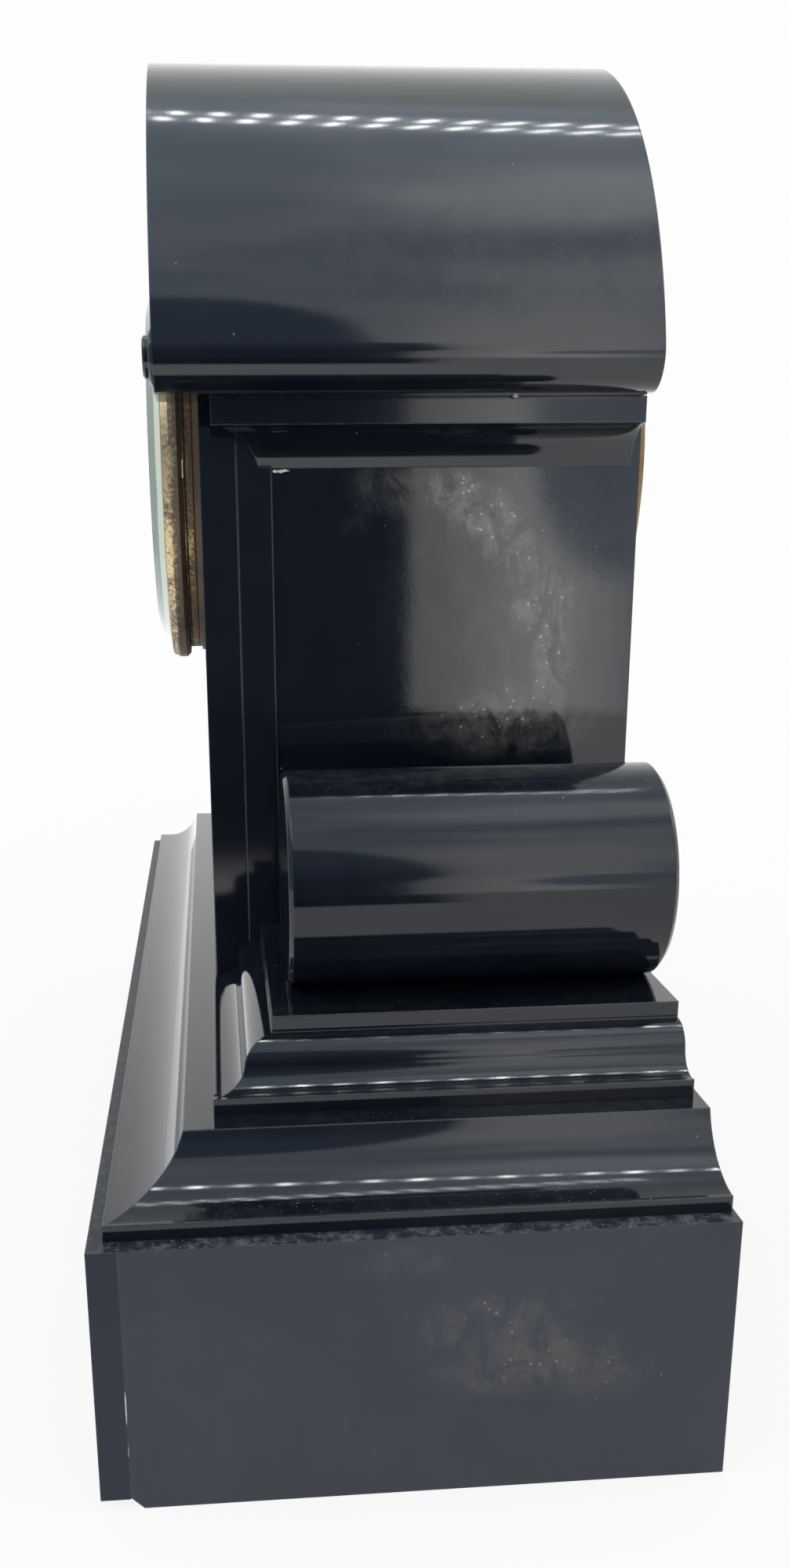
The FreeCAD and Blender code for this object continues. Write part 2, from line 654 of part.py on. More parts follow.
def upper_plinth():
    """The ogee stops at a notch where the front slab of the body passes down."""
    foot = (UPPER_STEP, UPPER_FILLET)
    crown = (UPPER_RUN - UPPER_STEP, UPPER_HEIGHT - UPPER_BAND)
    turn = between(foot, crown, UPPER_TURN_SHARES)
    hollow = between(foot, crown, UPPER_HOLLOW_SHARES)
    swell = between(foot, crown, UPPER_ROUND_SHARES)
    steps = [
        (None, (0, UPPER_FILLET)),
        (None, foot),
        (hollow, turn),
        (swell, crown),
        (None, (UPPER_RUN, UPPER_HEIGHT - UPPER_BAND)),
        (None, (UPPER_RUN, UPPER_HEIGHT)),
    ]
    half = BASE_WIDTH / 2 - UPPER_SIDE_LEDGE
    slab = moulded_slab(half, FRONT_Y + UPPER_FRONT_LEDGE, BACK_Y - UPPER_BACK_LEDGE, LOWER_TOP, steps)
    notch = block(-BODY_HALF_WIDTH, BODY_HALF_WIDTH, FRONT_Y, SLAB_REAR_Y, SLAB_FOOT, UPPER_TOP + OVERRUN)
    return {"upper_plinth_slab": slab.cut(notch)}


def arched_slab(y0, y1):
    """A body-wide slab with a half-round head under the hood and the hole for the bezel."""
    foot = block(-BODY_HALF_WIDTH, BODY_HALF_WIDTH, y0, y1, SLAB_FOOT, DIAL_HEIGHT)
    head = rod_y(CENTRE, BODY_HALF_WIDTH, y0, y1)
    hole = rod_y(CENTRE, CASE_HOLE_RADIUS, y0 - OVERRUN, y1 + OVERRUN)
    return foot.fuse(head).removeSplitter().cut(hole)


def back_slab():
    y0 = BODY_BACK_Y - BACK_SLAB_THICKNESS
    width = PANEL_INNER - SLAB_FIT
    foot = block(-width, width, y0, BODY_BACK_Y, UPPER_TOP, HOOD_FOOT + SLAB_FIT)
    head = rod_y(CENTRE, BODY_HALF_WIDTH, y0, BODY_BACK_Y)
    below = block(-HOOD_RADIUS, HOOD_RADIUS, y0 - OVERRUN, BODY_BACK_Y + OVERRUN, 0, HOOD_FOOT + SLAB_FIT)
    hole = rod_y(CENTRE, REAR_HOLE_RADIUS, y0 - OVERRUN, BODY_BACK_Y + OVERRUN)
    return foot.fuse(head.cut(below)).removeSplitter().cut(hole)


def body():
    right = block(PANEL_INNER, PANEL_OUTER, SLAB_REAR_Y, BODY_BACK_Y, UPPER_TOP, HOOD_FOOT)
    return {
        "front_slab": arched_slab(SLAB_FRONT_Y, SLAB_SEAM_Y),
        "front_backing_slab": arched_slab(SLAB_SEAM_Y, SLAB_REAR_Y),
        "right_side_panel": right,
        "left_side_panel": mirrored(right),
        "back_slab": back_slab(),
    }


def hood():
    """The arch in section: outer curve, rounded feet, flat soles and the bore over the slabs."""
    sole = HOOD_FOOT_RISE
    rounding_z = sole + HOOD_FOOT_ROUNDING
    rounding_x = math.sqrt((HOOD_RADIUS - HOOD_FOOT_ROUNDING) ** 2 - rounding_z ** 2)
    lean = math.atan2(rounding_z, rounding_x)
    tangent = (HOOD_RADIUS * math.cos(lean), HOOD_RADIUS * math.sin(lean))
    half_turn = (lean - math.pi / 2) / 2
    middle = (rounding_x + HOOD_FOOT_ROUNDING * math.cos(half_turn),
              rounding_z + HOOD_FOOT_ROUNDING * math.sin(half_turn))
    heel = (rounding_x, sole)
    inner = (math.sqrt(HOOD_BORE ** 2 - sole ** 2), sole)

    def right(point):
        return vec(point[0], HOOD_FRONT_Y, DIAL_HEIGHT + point[1])

    def left(point):
        return vec(-point[0], HOOD_FRONT_Y, DIAL_HEIGHT + point[1])

    edges = []
    for side in (right, left):
        edges += run_edges(tangent, [(middle, heel), (None, inner)], side)
    edges.append(Part.Arc(right(tangent), right((0, HOOD_RADIUS)), left(tangent)).toShape())
    edges.append(Part.Arc(right(inner), right((0, HOOD_BORE)), left(inner)).toShape())
    return {"hood_arch": face_of(edges).extrude(vec(0, HOOD_BACK_Y - HOOD_FRONT_Y, 0))}


def cornices():
    """A cove and fillet under each foot of the hood, returned on itself at the front."""
    foot_z = HOOD_FOOT - CORNICE_HEIGHT
    inner_foot = (0, 0)
    cove_top = (CORNICE_PROJECTION - CORNICE_STEP, CORNICE_HEIGHT - CORNICE_FILLET)
    cove = between(inner_foot, cove_top, CORNICE_COVE_SHARES)
    steps = [
        (cove, cove_top),
        (None, (CORNICE_PROJECTION, CORNICE_HEIGHT - CORNICE_FILLET)),
        (None, (CORNICE_PROJECTION, CORNICE_HEIGHT)),
    ]
    return_y = SLAB_REAR_Y - CORNICE_RETURN_SETBACK
    back_y = BODY_BACK_Y - CORNICE_BACK_SETBACK
    front_y = return_y - CORNICE_PROJECTION

    def on_side(point):
        return vec(BODY_HALF_WIDTH + point[0], front_y, foot_z + point[1])

    def on_front(point):
        return vec(PANEL_OUTER, return_y - point[0], foot_z + point[1])

    side_edges = run_edges(inner_foot, steps, on_side)
    wall_foot = vec(PANEL_OUTER, front_y, foot_z)
    wall_top = vec(PANEL_OUTER, front_y, HOOD_FOOT)
    side_edges.append(Part.makeLine(on_side(steps[-1][1]), wall_top))
    side_edges.append(Part.makeLine(wall_top, wall_foot))
    side_edges.append(Part.makeLine(wall_foot, on_side(inner_foot)))
    along = face_of(side_edges).extrude(vec(0, back_y - front_y, 0))
    front_edges = run_edges(inner_foot, steps, on_front)
    rear_foot = vec(PANEL_OUTER, back_y, foot_z)
    rear_top = vec(PANEL_OUTER, back_y, HOOD_FOOT)
    front_edges.append(Part.makeLine(on_front(steps[-1][1]), rear_top))
    front_edges.append(Part.makeLine(rear_top, rear_foot))
    front_edges.append(Part.makeLine(rear_foot, on_front(inner_foot)))
    across = face_of(front_edges).extrude(vec(CORNICE_PROJECTION + PANEL_RECESS, 0, 0))
    slab = block(0, BODY_HALF_WIDTH, front_y - OVERRUN, SLAB_REAR_Y, foot_z - OVERRUN, HOOD_FOOT + OVERRUN)
    right = along.common(across).cut(slab)
    return {"right_cornice": right, "left_cornice": mirrored(right)}


def rolls():
    """A stone cylinder on each end of the upper plinth, eased at its ends and flat where it lies."""
    place = (PLINTH_EDGE - ROLL_INSET - ROLL_RADIUS, UPPER_TOP + ROLL_RADIUS - ROLL_FLAT)
    front_y = SLAB_REAR_Y - ROLL_FRONT_GAP
    back_y = BACK_Y - UPPER_BACK_LEDGE - ROLL_BACK_SETBACK
    outline = [
        (0, front_y),
        (ROLL_RADIUS - ROLL_EDGE, front_y),
        (ROLL_RADIUS, front_y + ROLL_EDGE),
        (ROLL_RADIUS, back_y - ROLL_EDGE),
        (ROLL_RADIUS - ROLL_EDGE, back_y),
        (0, back_y),
    ]
    roll = turned_y(place, outline)
    under = block(0, BASE_WIDTH, front_y - OVERRUN, back_y + OVERRUN, 0, UPPER_TOP)
    right = roll.cut(under)
    return {"right_roll": right, "left_roll": mirrored(right)}


def roundels():
    place = ((HOOD_BORE + HOOD_RADIUS) / 2, DIAL_HEIGHT + ROUNDEL_RISE)
    base_y = HOOD_FRONT_Y - ROUNDEL_BASE_THICKNESS
    face_y = base_y - ROUNDEL_THICKNESS
    outline = [
        (0, HOOD_FRONT_Y),
        (ROUNDEL_BASE_RADIUS, HOOD_FRONT_Y),
        (ROUNDEL_BASE_RADIUS, base_y + ROUNDEL_ROUNDING),
        (ROUNDEL_BASE_RADIUS - ROUNDEL_ROUNDING, base_y),
        (ROUNDEL_RADIUS, base_y),
        (ROUNDEL_RADIUS, face_y + ROUNDEL_ROUNDING),
        (ROUNDEL_RADIUS - ROUNDEL_ROUNDING, face_y),
        (0, face_y),
    ]
    right = turned_y(place, outline)
    return {"right_roundel": right, "left_roundel": mirrored(right)}


def knuckles(x, y, outer_pair):
    """Hinge barrels on a vertical pin at dial height: the outer pair or the middle one."""
    pitch = HINGE_KNUCKLE_LENGTH + HINGE_KNUCKLE_GAP
    levels = (-pitch, pitch) if outer_pair else (0,)
    barrels = []
    for level in levels:
        low = DIAL_HEIGHT + level - HINGE_KNUCKLE_LENGTH / 2
        barrel = Part.makeCylinder(HINGE_KNUCKLE_RADIUS, HINGE_KNUCKLE_LENGTH, vec(x, y, low))
        barrels.append(barrel)
    return barrels


def hinge_bore(x, y):
    height = HINGE_KNUCKLE_COUNT * HINGE_KNUCKLE_LENGTH + 2 * OVERRUN
    low = DIAL_HEIGHT - height / 2
    return Part.makeCylinder(HINGE_PIN_RADIUS + HINGE_CLEARANCE, height, vec(x, y, low))


def hinge_pin(x, y):
    half = HINGE_KNUCKLE_LENGTH * HINGE_KNUCKLE_COUNT / 2 + HINGE_KNUCKLE_GAP
    pin = Part.makeCylinder(HINGE_PIN_RADIUS, 2 * half, vec(x, y, DIAL_HEIGHT - half))
    head_z = DIAL_HEIGHT + half
    head = Part.makeCylinder(HINGE_KNUCKLE_RADIUS, HINGE_PIN_HEAD, vec(x, y, head_z))
    return pin.fuse(head)


def hinge_leaf(x_from, x_to, y0, y1, level, reach):
    """A flat tab from a knuckle to the ring that carries it."""
    low = DIAL_HEIGHT + level - HINGE_KNUCKLE_LENGTH / 2
    return block(x_from, x_to + reach, y0, y1, low, low + HINGE_KNUCKLE_LENGTH)


def hinged_ring(ring, x, y, y0, y1, rim_x, outer_pair):
    """A ring with its half of the hinge: leaves and knuckles fused on, then bored for the pin."""
    pitch = HINGE_KNUCKLE_LENGTH + HINGE_KNUCKLE_GAP
    levels = (-pitch, pitch) if outer_pair else (0,)
    pieces = [ring]
    for level in levels:
        pieces.append(hinge_leaf(x, rim_x, y0, y1, level, OVERRUN))
    pieces += knuckles(x, y, outer_pair)
    whole = fused(pieces)
    other = (0,) if outer_pair else (-pitch, pitch)
    for level in other:
        half = HINGE_KNUCKLE_LENGTH / 2 + HINGE_KNUCKLE_GAP
        side = HINGE_KNUCKLE_RADIUS + HINGE_KNUCKLE_GAP
        low = DIAL_HEIGHT + level - half
        room = block(x - side, x + side, y - side, y + side, low, low + 2 * half)
        whole = whole.cut(room)
    return whole.cut(hinge_bore(x, y))


def bezel():
    """The fixed ring on the slab, and the hinged door of bead ring and bevelled glass."""
    step_y = SLAB_FRONT_Y - BEZEL_OUTER_THICKNESS
    seat_bore = SPIGOT_BORE - DIAL_SEAT_WIDTH
    outline = [
        (SPIGOT_BORE, BEZEL_FRONT_Y),
        (BEZEL_OUTER_RADIUS - BEZEL_INNER_STEP, BEZEL_FRONT_Y),
        (BEZEL_OUTER_RADIUS - BEZEL_INNER_STEP, step_y),
        (BEZEL_OUTER_RADIUS, step_y),
        (BEZEL_OUTER_RADIUS, SLAB_FRONT_Y),
        (SPIGOT_RADIUS, SLAB_FRONT_Y),
        (SPIGOT_RADIUS, SLAB_FRONT_Y + SPIGOT_LENGTH),
        (SPIGOT_BORE, SLAB_FRONT_Y + SPIGOT_LENGTH),
        (SPIGOT_BORE, SLAB_FRONT_Y),
        (seat_bore, SLAB_FRONT_Y),
        (seat_bore, DIAL_BACK_Y),
        (SPIGOT_BORE, DIAL_BACK_Y),
    ]
    ring = turned_y(CENTRE, outline)
    leaf_room_y = SLAB_FRONT_Y - SLAB_FIT
    fixed = hinged_ring(ring, DOOR_HINGE_X, DOOR_HINGE_Y, DOOR_HINGE_Y, leaf_room_y,
                        -BEZEL_OUTER_RADIUS, True)
    lip_y = DOOR_FRONT_Y - DOOR_LIP
    lip_bore = GLASS_RADIUS + GLASS_CLEARANCE
    door_outline = [
        (DOOR_BORE, DOOR_BACK_Y),
        (DOOR_RADIUS - DOOR_BEAD / 2, DOOR_BACK_Y),
        (DOOR_RADIUS, DOOR_BACK_Y - DOOR_BEAD / 2),
        (DOOR_RADIUS, DOOR_FRONT_Y + DOOR_BEAD / 2),
        (lip_bore + DOOR_LIP_WALL, lip_y),
        (lip_bore, lip_y),
        (lip_bore, DOOR_FRONT_Y),
        (DOOR_BORE, DOOR_FRONT_Y),
    ]
    door = hinged_ring(turned_y(CENTRE, door_outline), DOOR_HINGE_X, DOOR_HINGE_Y,
                       DOOR_FRONT_Y + DOOR_BEAD / 2, DOOR_HINGE_Y - DOOR_GAP / 2, -DOOR_RADIUS, False)
    glass_outline = [
        (0, GLASS_BACK_Y),
        (GLASS_RADIUS, GLASS_BACK_Y),
        (GLASS_RADIUS, GLASS_BACK_Y - GLASS_LAND),
        (GLASS_FLAT_RADIUS, GLASS_FRONT_Y),
        (0, GLASS_FRONT_Y),
    ]
    pins = [hinge_pin(DOOR_HINGE_X, DOOR_HINGE_Y), hinge_pin(REAR_HINGE_X, REAR_HINGE_Y)]
    return {
        "bezel_ring": fixed,
        "bezel_door_ring": door,
        "bevelled_glass": turned_y(CENTRE, glass_outline),
        "hinge_pins": Part.makeCompound(pins),
    }


def dial():
    """Enamelled plate with its three feet, which stand on the movement's front plate."""
    plate = rod_y(CENTRE, DIAL_RADIUS, DIAL_FRONT_Y, DIAL_BACK_Y)
    feet = []
    for bearing in DIAL_FOOT_ANGLES:
        foot_at = at(CENTRE, bearing, DIAL_FOOT_CIRCLE)
        feet.append(rod_y(foot_at, DIAL_FOOT_RADIUS, DIAL_BACK_Y, PLATE_FRONT_Y))
    plate = fused([plate] + feet)
    for place, radius in ((CENTRE, DIAL_CENTRE_HOLE), (GOING_BARREL, DIAL_KEY_HOLE),
                          (STRIKE_BARREL, DIAL_KEY_HOLE)):
        plate = plate.cut(rod_y(place, radius, DIAL_FRONT_Y - OVERRUN, DIAL_BACK_Y + OVERRUN))
    return {"dial_plate": plate}


def hand(length, width, bore, y0, bearing):
    """A hand with a round loop near its tip, pointing on a bearing."""
    y1 = y0 + HAND_THICKNESS
    loop_at = length * HAND_LOOP_SHARE
    tip_half = width * HAND_TIP_WIDTH_SHARE / 2
    shaft = prism_y([
        (0, -width / 2),
        (loop_at, -tip_half),
        (loop_at, tip_half),
        (0, width / 2),
    ], y0, y1)
    point = prism_y([
        (loop_at + HAND_LOOP_BORE, -width / 2),
        (length, 0),
        (loop_at + HAND_LOOP_BORE, width / 2),
    ], y0, y1)
    loop = rod_y((loop_at, 0), HAND_LOOP_RADIUS, y0, y1)
    hub = rod_y((0, 0), bore + HAND_HUB_WALL, y0, y1)
    whole = fused([shaft, point, loop, hub])
    whole = whole.cut(rod_y((loop_at, 0), HAND_LOOP_BORE, y0 - OVERRUN, y1 + OVERRUN))
    whole = whole.cut(rod_y((0, 0), bore, y0 - OVERRUN, y1 + OVERRUN))
    whole.rotate(vec(0, 0, 0), vec(0, 1, 0), -bearing)
    whole.translate(vec(CENTRE[0], 0, CENTRE[1]))
    return whole


def hands():
    """Set at ten past ten, with the cannon pinion and hour wheel that carry them."""
    cannon_phase = mesh_phase(MINUTE_WHEEL, CENTRE, MINUTE_TEETH, 0, CANNON_LEAVES)
    cannon = pinion(CENTRE, CANNON_LEAVES, MOTION_MODULE, cannon_phase, CANNON_Y)
    pipe_front_y = MINUTE_HAND_Y - HAND_GAP / 2
    cannon = cannon.fuse(rod_y(CENTRE, CANNON_PIPE_RADIUS, pipe_front_y, CANNON_Y))
    cannon = cannon.cut(rod_y(CENTRE, CENTRE_ARBOR_RADIUS, pipe_front_y - OVERRUN, PLATE_FRONT_Y))
    wheel = toothed_wheel(MINUTE_WHEEL, MINUTE_TEETH, MOTION_MODULE, 0, MINUTE_WHEEL_Y)
    leaves = pinion(MINUTE_WHEEL, MINUTE_LEAVES, HOUR_MODULE, 0, MINUTE_PINION_Y)
    minute_wheel = wheel.fuse(leaves)
    bore = rod_y(MINUTE_WHEEL, ARBOR_RADIUS + RUNNING_CLEARANCE, MINUTE_PINION_Y - OVERRUN, PLATE_FRONT_Y)
    hour_phase = mesh_phase(MINUTE_WHEEL, CENTRE, MINUTE_LEAVES, 0, HOUR_TEETH)
    hour_hub = HOUR_PIPE_RADIUS + RIM_WIDTH
    hour = toothed_wheel(CENTRE, HOUR_TEETH, HOUR_MODULE, hour_phase, HOUR_WHEEL_Y, hour_hub)
    hour = hour.fuse(rod_y(CENTRE, HOUR_PIPE_RADIUS, HOUR_HAND_Y - HAND_GAP / 2, HOUR_WHEEL_Y))
    hour_bore = CANNON_PIPE_RADIUS + RUNNING_CLEARANCE
    hour = hour.cut(rod_y(CENTRE, hour_bore, HOUR_HAND_Y - OVERRUN, HOUR_WHEEL_Y + OVERRUN))
    return {
        "cannon_pinion": cannon.removeSplitter(),
        "minute_wheel": minute_wheel.removeSplitter().cut(bore),
        "hour_wheel": hour.removeSplitter(),
        "hour_hand": hand(HOUR_HAND_LENGTH, HOUR_HAND_WIDTH, HOUR_PIPE_RADIUS, HOUR_HAND_Y,
                          HOUR_HAND_BEARING),
        "minute_hand": hand(MINUTE_HAND_LENGTH, MINUTE_HAND_WIDTH, CANNON_PIPE_RADIUS, MINUTE_HAND_Y,
                            MINUTE_HAND_BEARING),
    }


def plates():
    """Round plates with ears to the straps, pillars between them, and every pivot hole."""
    ear = PLATE_EAR_HEIGHT / 2
    shapes = []
    for y0 in (PLATE_FRONT_Y, GAP_BACK_Y):
        y1 = y0 + PLATE_THICKNESS
        ears = block(-STRAP_OFFSET, STRAP_OFFSET, y0, y1, DIAL_HEIGHT - ear, DIAL_HEIGHT + ear)
        plate = rod_y(CENTRE, PLATE_RADIUS, y0, y1).fuse(ears).removeSplitter()
        pivots = [(place, PIVOT_RADIUS) for place in (SECOND, THIRD, STRIKE_SECOND)]
        pivots += [(place, SMALL_PIVOT_RADIUS) for place in (ESCAPE, PIN_WHEEL, WARNING, FLY)]
        if y0 == PLATE_FRONT_Y:
            pivots += [(place, WINDING_ARBOR_RADIUS) for place in (GOING_BARREL, STRIKE_BARREL)]
            pivots += [(CENTRE, CENTRE_ARBOR_RADIUS), (PALLET, SMALL_PIVOT_RADIUS), (HAMMER, PIVOT_RADIUS)]
        else:
            pivots += [(place, WINDING_PIVOT_RADIUS) for place in (GOING_BARREL, STRIKE_BARREL)]
            pivots += [(CENTRE, PIVOT_RADIUS), (PALLET, ARBOR_RADIUS + ARBOR_SHAKE)]
            pivots += [(HAMMER, HAMMER_ARBOR_RADIUS)]
        for place, radius in pivots:
            hole = rod_y(place, radius + RUNNING_CLEARANCE, y0 - OVERRUN, y1 + OVERRUN)
            plate = plate.cut(hole)
        shapes.append(plate)
    front, back = shapes
    stud_y = MINUTE_PINION_Y - MOTION_GAP
    front = front.fuse(rod_y(MINUTE_WHEEL, ARBOR_RADIUS, stud_y, PLATE_FRONT_Y)).removeSplitter()
    posts = []
    for place in PILLAR_PLACES:
        post = rod_y(raised(place), PILLAR_RADIUS, GAP_FRONT_Y, GAP_BACK_Y)
        nut = rod_y(raised(place), PILLAR_NUT_RADIUS, PLATE_BACK_Y, PLATE_BACK_Y + PILLAR_NUT_LENGTH)
        posts += [post, nut]
    return {
        "movement_front_plate": front,
        "movement_back_plate": back,
        "plate_pillars": Part.makeCompound(posts),
    }


def straps():
    """Two brass straps draw the bezel and the rear ring together through the case."""
    half = STRAP_WIDTH / 2
    front_y = SLAB_FRONT_Y + STRAP_FRONT_SETBACK
    lug_y = BODY_BACK_Y - REAR_LUG_THICKNESS
    end_y = lug_y - STRAP_SCREW_GRIP
    outer = STRAP_OFFSET + STRAP_THICKNESS
    low, high = DIAL_HEIGHT - half, DIAL_HEIGHT + half
    bar = block(STRAP_OFFSET, outer, front_y, end_y, low, high)
    end = block(outer - STRAP_BLOCK, outer, end_y - STRAP_BLOCK, end_y, low, high)
    screw_at = (outer - STRAP_BLOCK / 2, DIAL_HEIGHT)
    tapping = rod_y(screw_at, STRAP_SCREW_RADIUS, end_y - STRAP_BLOCK - OVERRUN, end_y + OVERRUN)
    strap = bar.fuse(end).removeSplitter().cut(tapping)
    shank = rod_y(screw_at, STRAP_SCREW_RADIUS, end_y - STRAP_BLOCK, BODY_BACK_Y)
    head = rod_y(screw_at, STRAP_SCREW_HEAD_RADIUS, BODY_BACK_Y, BODY_BACK_Y + STRAP_SCREW_HEAD)
    screw = shank.fuse(head).removeSplitter()
    return {
        "movement_straps": Part.makeCompound([strap, mirrored(strap)]),
        "strap_screws": Part.makeCompound([screw, mirrored(screw)]),
    }


def barrel(place, phase):
    """A closed drum with the great wheel as its rear end."""
    drum = rod_y(place, BARREL_DRUM_RADIUS, DRUM_FRONT_Y, GREAT_Y)
    teeth = moved(wheel_points(GREAT_TEETH, GREAT_MODULE, phase), place)
    rim = prism_y(teeth, GREAT_Y, GREAT_Y + GREAT_WHEEL_THICKNESS)
    whole = drum.fuse(rim).removeSplitter()
    hollow = rod_y(place, BARREL_DRUM_RADIUS - BARREL_WALL, DRUM_FRONT_Y + BARREL_WALL, GREAT_Y)
    bore_radius = WINDING_ARBOR_RADIUS + RUNNING_CLEARANCE
    bore = rod_y(place, bore_radius, DRUM_FRONT_Y - OVERRUN, GREAT_Y + PINION_LENGTH)
    return whole.cut(hollow).cut(bore)


def ratchet_points():
    points = []
    for tooth in range(RATCHET_TEETH):
        turn = 2 * math.pi * tooth / RATCHET_TEETH
        for radius in (RATCHET_RADIUS - RATCHET_DEPTH, RATCHET_RADIUS):
            points.append((radius * math.cos(turn), radius * math.sin(turn)))
    return points


def winding_arbor(place):
    """Core, pivots, ratchet wheel in front of the plate and the square for the key."""
    end_y = DIAL_FRONT_Y + WINDING_SQUARE_SETBACK
    shaft = rod_y(place, WINDING_ARBOR_RADIUS, RATCHET_Y, GAP_BACK_Y - ARBOR_SHAKE)
    core_front_y = DRUM_FRONT_Y + BARREL_WALL + SPRING_SIDE_GAP
    core = rod_y(place, WINDING_CORE_RADIUS, core_front_y, GREAT_Y - SPRING_SIDE_GAP)
    pivot = rod_y(place, WINDING_PIVOT_RADIUS, GAP_BACK_Y - PLATE_THICKNESS, PLATE_BACK_Y - ARBOR_SHAKE)
    half = WINDING_SQUARE / 2
    square = block(place[0] - half, place[0] + half, end_y, RATCHET_Y, place[1] - half, place[1] + half)
    ratchet = prism_y(moved(ratchet_points(), place), RATCHET_Y, RATCHET_Y + RATCHET_THICKNESS)
    return fused([shaft, core, pivot, square, ratchet])


def mainspring(place):
    """A flat spiral of half turns round the core, its outer end against the drum wall."""
    y0 = DRUM_FRONT_Y + BARREL_WALL + SPRING_SIDE_GAP
    y1 = GREAT_Y - SPRING_SIDE_GAP
    inner = WINDING_CORE_RADIUS + SPRING_END_GAP
    outer = BARREL_DRUM_RADIUS - BARREL_WALL - SPRING_THICKNESS
    growth = (outer - inner) / (2 * SPRING_TURNS)

    def spiral(radius, offset):
        """Half circles whose centres step from side to side as the radius grows."""
        edges = []
        x = radius
        for half_turn in range(2 * SPRING_TURNS):
            side = 1 if half_turn % 2 == 0 else -1
            size = radius + growth * (half_turn + 1 / 2)
            middle_x = x - side * size
            end_x = middle_x - side * size
            swell = size + offset
            edges.append(Part.Arc(
                vec(place[0] + middle_x + side * swell, y0, place[1]),
                vec(place[0] + middle_x, y0, place[1] + side * swell),
                vec(place[0] + middle_x - side * swell, y0, place[1]),
            ).toShape())
            x = end_x
        return edges

    inside = spiral(inner, 0)
    outside = spiral(inner, SPRING_THICKNESS)
    start = Part.makeLine(inside[0].Vertexes[0].Point, outside[0].Vertexes[0].Point)
    finish = Part.makeLine(inside[-1].Vertexes[-1].Point, outside[-1].Vertexes[-1].Point)
    return face_of(inside + outside + [start, finish]).extrude(vec(0, y1 - y0, 0))


def clicks():
    """A click beside each ratchet wheel, held clear as it is while the key turns."""
    shapes = []
    for place, side in ((GOING_BARREL, 1), (STRIKE_BARREL, -1)):
        tip_x = place[0] + side * (RATCHET_RADIUS + CLICK_GAP)
        pivot_z = place[1] + CLICK_LENGTH
        pivot_x = tip_x + side * CLICK_WIDTH / 2
        y1 = RATCHET_Y + RATCHET_THICKNESS
        lever = prism_y([
            (tip_x, place[1]),
            (pivot_x + side * CLICK_WIDTH / 2, place[1]),
            (pivot_x + side * CLICK_WIDTH / 2, pivot_z),
            (pivot_x - side * CLICK_WIDTH / 2, pivot_z),
        ], RATCHET_Y, y1)
        screw = rod_y((pivot_x, pivot_z), CLICK_SCREW_RADIUS, RATCHET_Y, PLATE_FRONT_Y)
        shapes.append(lever.fuse(screw).removeSplitter())
    return Part.makeCompound(shapes)


def barrels():
    return {
        "going_barrel": barrel(GOING_BARREL, 0),
        "strike_barrel": barrel(STRIKE_BARREL, 0),
        "going_winding_arbor": winding_arbor(GOING_BARREL),
        "strike_winding_arbor": winding_arbor(STRIKE_BARREL),
        "going_mainspring": mainspring(GOING_BARREL),
        "strike_mainspring": mainspring(STRIKE_BARREL),
        "ratchet_clicks": clicks(),
    }


def mounted_wheel(place, driver, driver_teeth, leaves, leaf_module, pinion_y, teeth, module, wheel_y, thin):
    """A wheel and its pinion on one arbor; the pinion meshes with the driver."""
    phase = mesh_phase(driver, place, driver_teeth, 0, leaves)
    sizes = (SMALL_ARBOR_RADIUS, SMALL_PIVOT_RADIUS) if thin else (ARBOR_RADIUS, PIVOT_RADIUS)
    hub_radius = max(leaves * leaf_module / 2 + RIM_WIDTH / 2, sizes[0] + RIM_WIDTH / 2)
    wheel = toothed_wheel(place, teeth, module, 0, wheel_y, hub_radius)
    leaf = pinion(place, leaves, leaf_module, phase, pinion_y)
    return fused([wheel, leaf, arbor(place, *sizes)])


def escape_wheel():
    phase = mesh_phase(THIRD, ESCAPE, THIRD_TEETH, 0, ESCAPE_LEAVES)
    points = []
    for tooth in range(ESCAPE_TEETH):
        turn = 2 * math.pi * tooth / ESCAPE_TEETH
        back = turn + math.pi / ESCAPE_TEETH
        points.append((ESCAPE_RADIUS * math.cos(turn), ESCAPE_RADIUS * math.sin(turn)))
        root = ESCAPE_RADIUS - ESCAPE_DEPTH
        points.append((root * math.cos(back), root * math.sin(back)))
    disc = prism_y(moved(points, ESCAPE), ESCAPE_Y, ESCAPE_Y + WHEEL_THICKNESS)
    windows = crossed_out(ESCAPE, ESCAPE_RADIUS - ESCAPE_DEPTH, HUB_RADIUS, RIM_WIDTH / 2,
                          ESCAPE_Y, ESCAPE_Y + WHEEL_THICKNESS)
    pinion_y = THIRD_Y + (WHEEL_THICKNESS - PINION_LENGTH) / 2
    leaf = pinion(ESCAPE, ESCAPE_LEAVES, THIRD_MODULE, phase, pinion_y)
    return fused([disc.cut(windows), leaf, arbor(ESCAPE, SMALL_ARBOR_RADIUS, SMALL_PIVOT_RADIUS)])


def centre_wheel():
    """The centre arbor runs out through the front plate and carries the cannon pinion."""
    phase = mesh_phase(SECOND, CENTRE, SECOND_TEETH, 0, CENTRE_LEAVES)
    pinion_y = SECOND_Y + (WHEEL_THICKNESS - PINION_LENGTH) / 2
    leaf = pinion(CENTRE, CENTRE_LEAVES, SECOND_MODULE, phase, pinion_y)
    wheel = toothed_wheel(CENTRE, CENTRE_TEETH, CENTRE_MODULE, 0, CENTRE_Y,
                          CENTRE_LEAVES * SECOND_MODULE / 2 + RIM_WIDTH / 2)
    shaft = rod_y(CENTRE, CENTRE_ARBOR_RADIUS, MINUTE_HAND_Y - HAND_GAP / 2, GAP_BACK_Y - ARBOR_SHAKE)
    pivot = rod_y(CENTRE, PIVOT_RADIUS, GAP_BACK_Y - PLATE_THICKNESS, PLATE_BACK_Y - ARBOR_SHAKE)
    return fused([wheel, leaf, shaft, pivot])


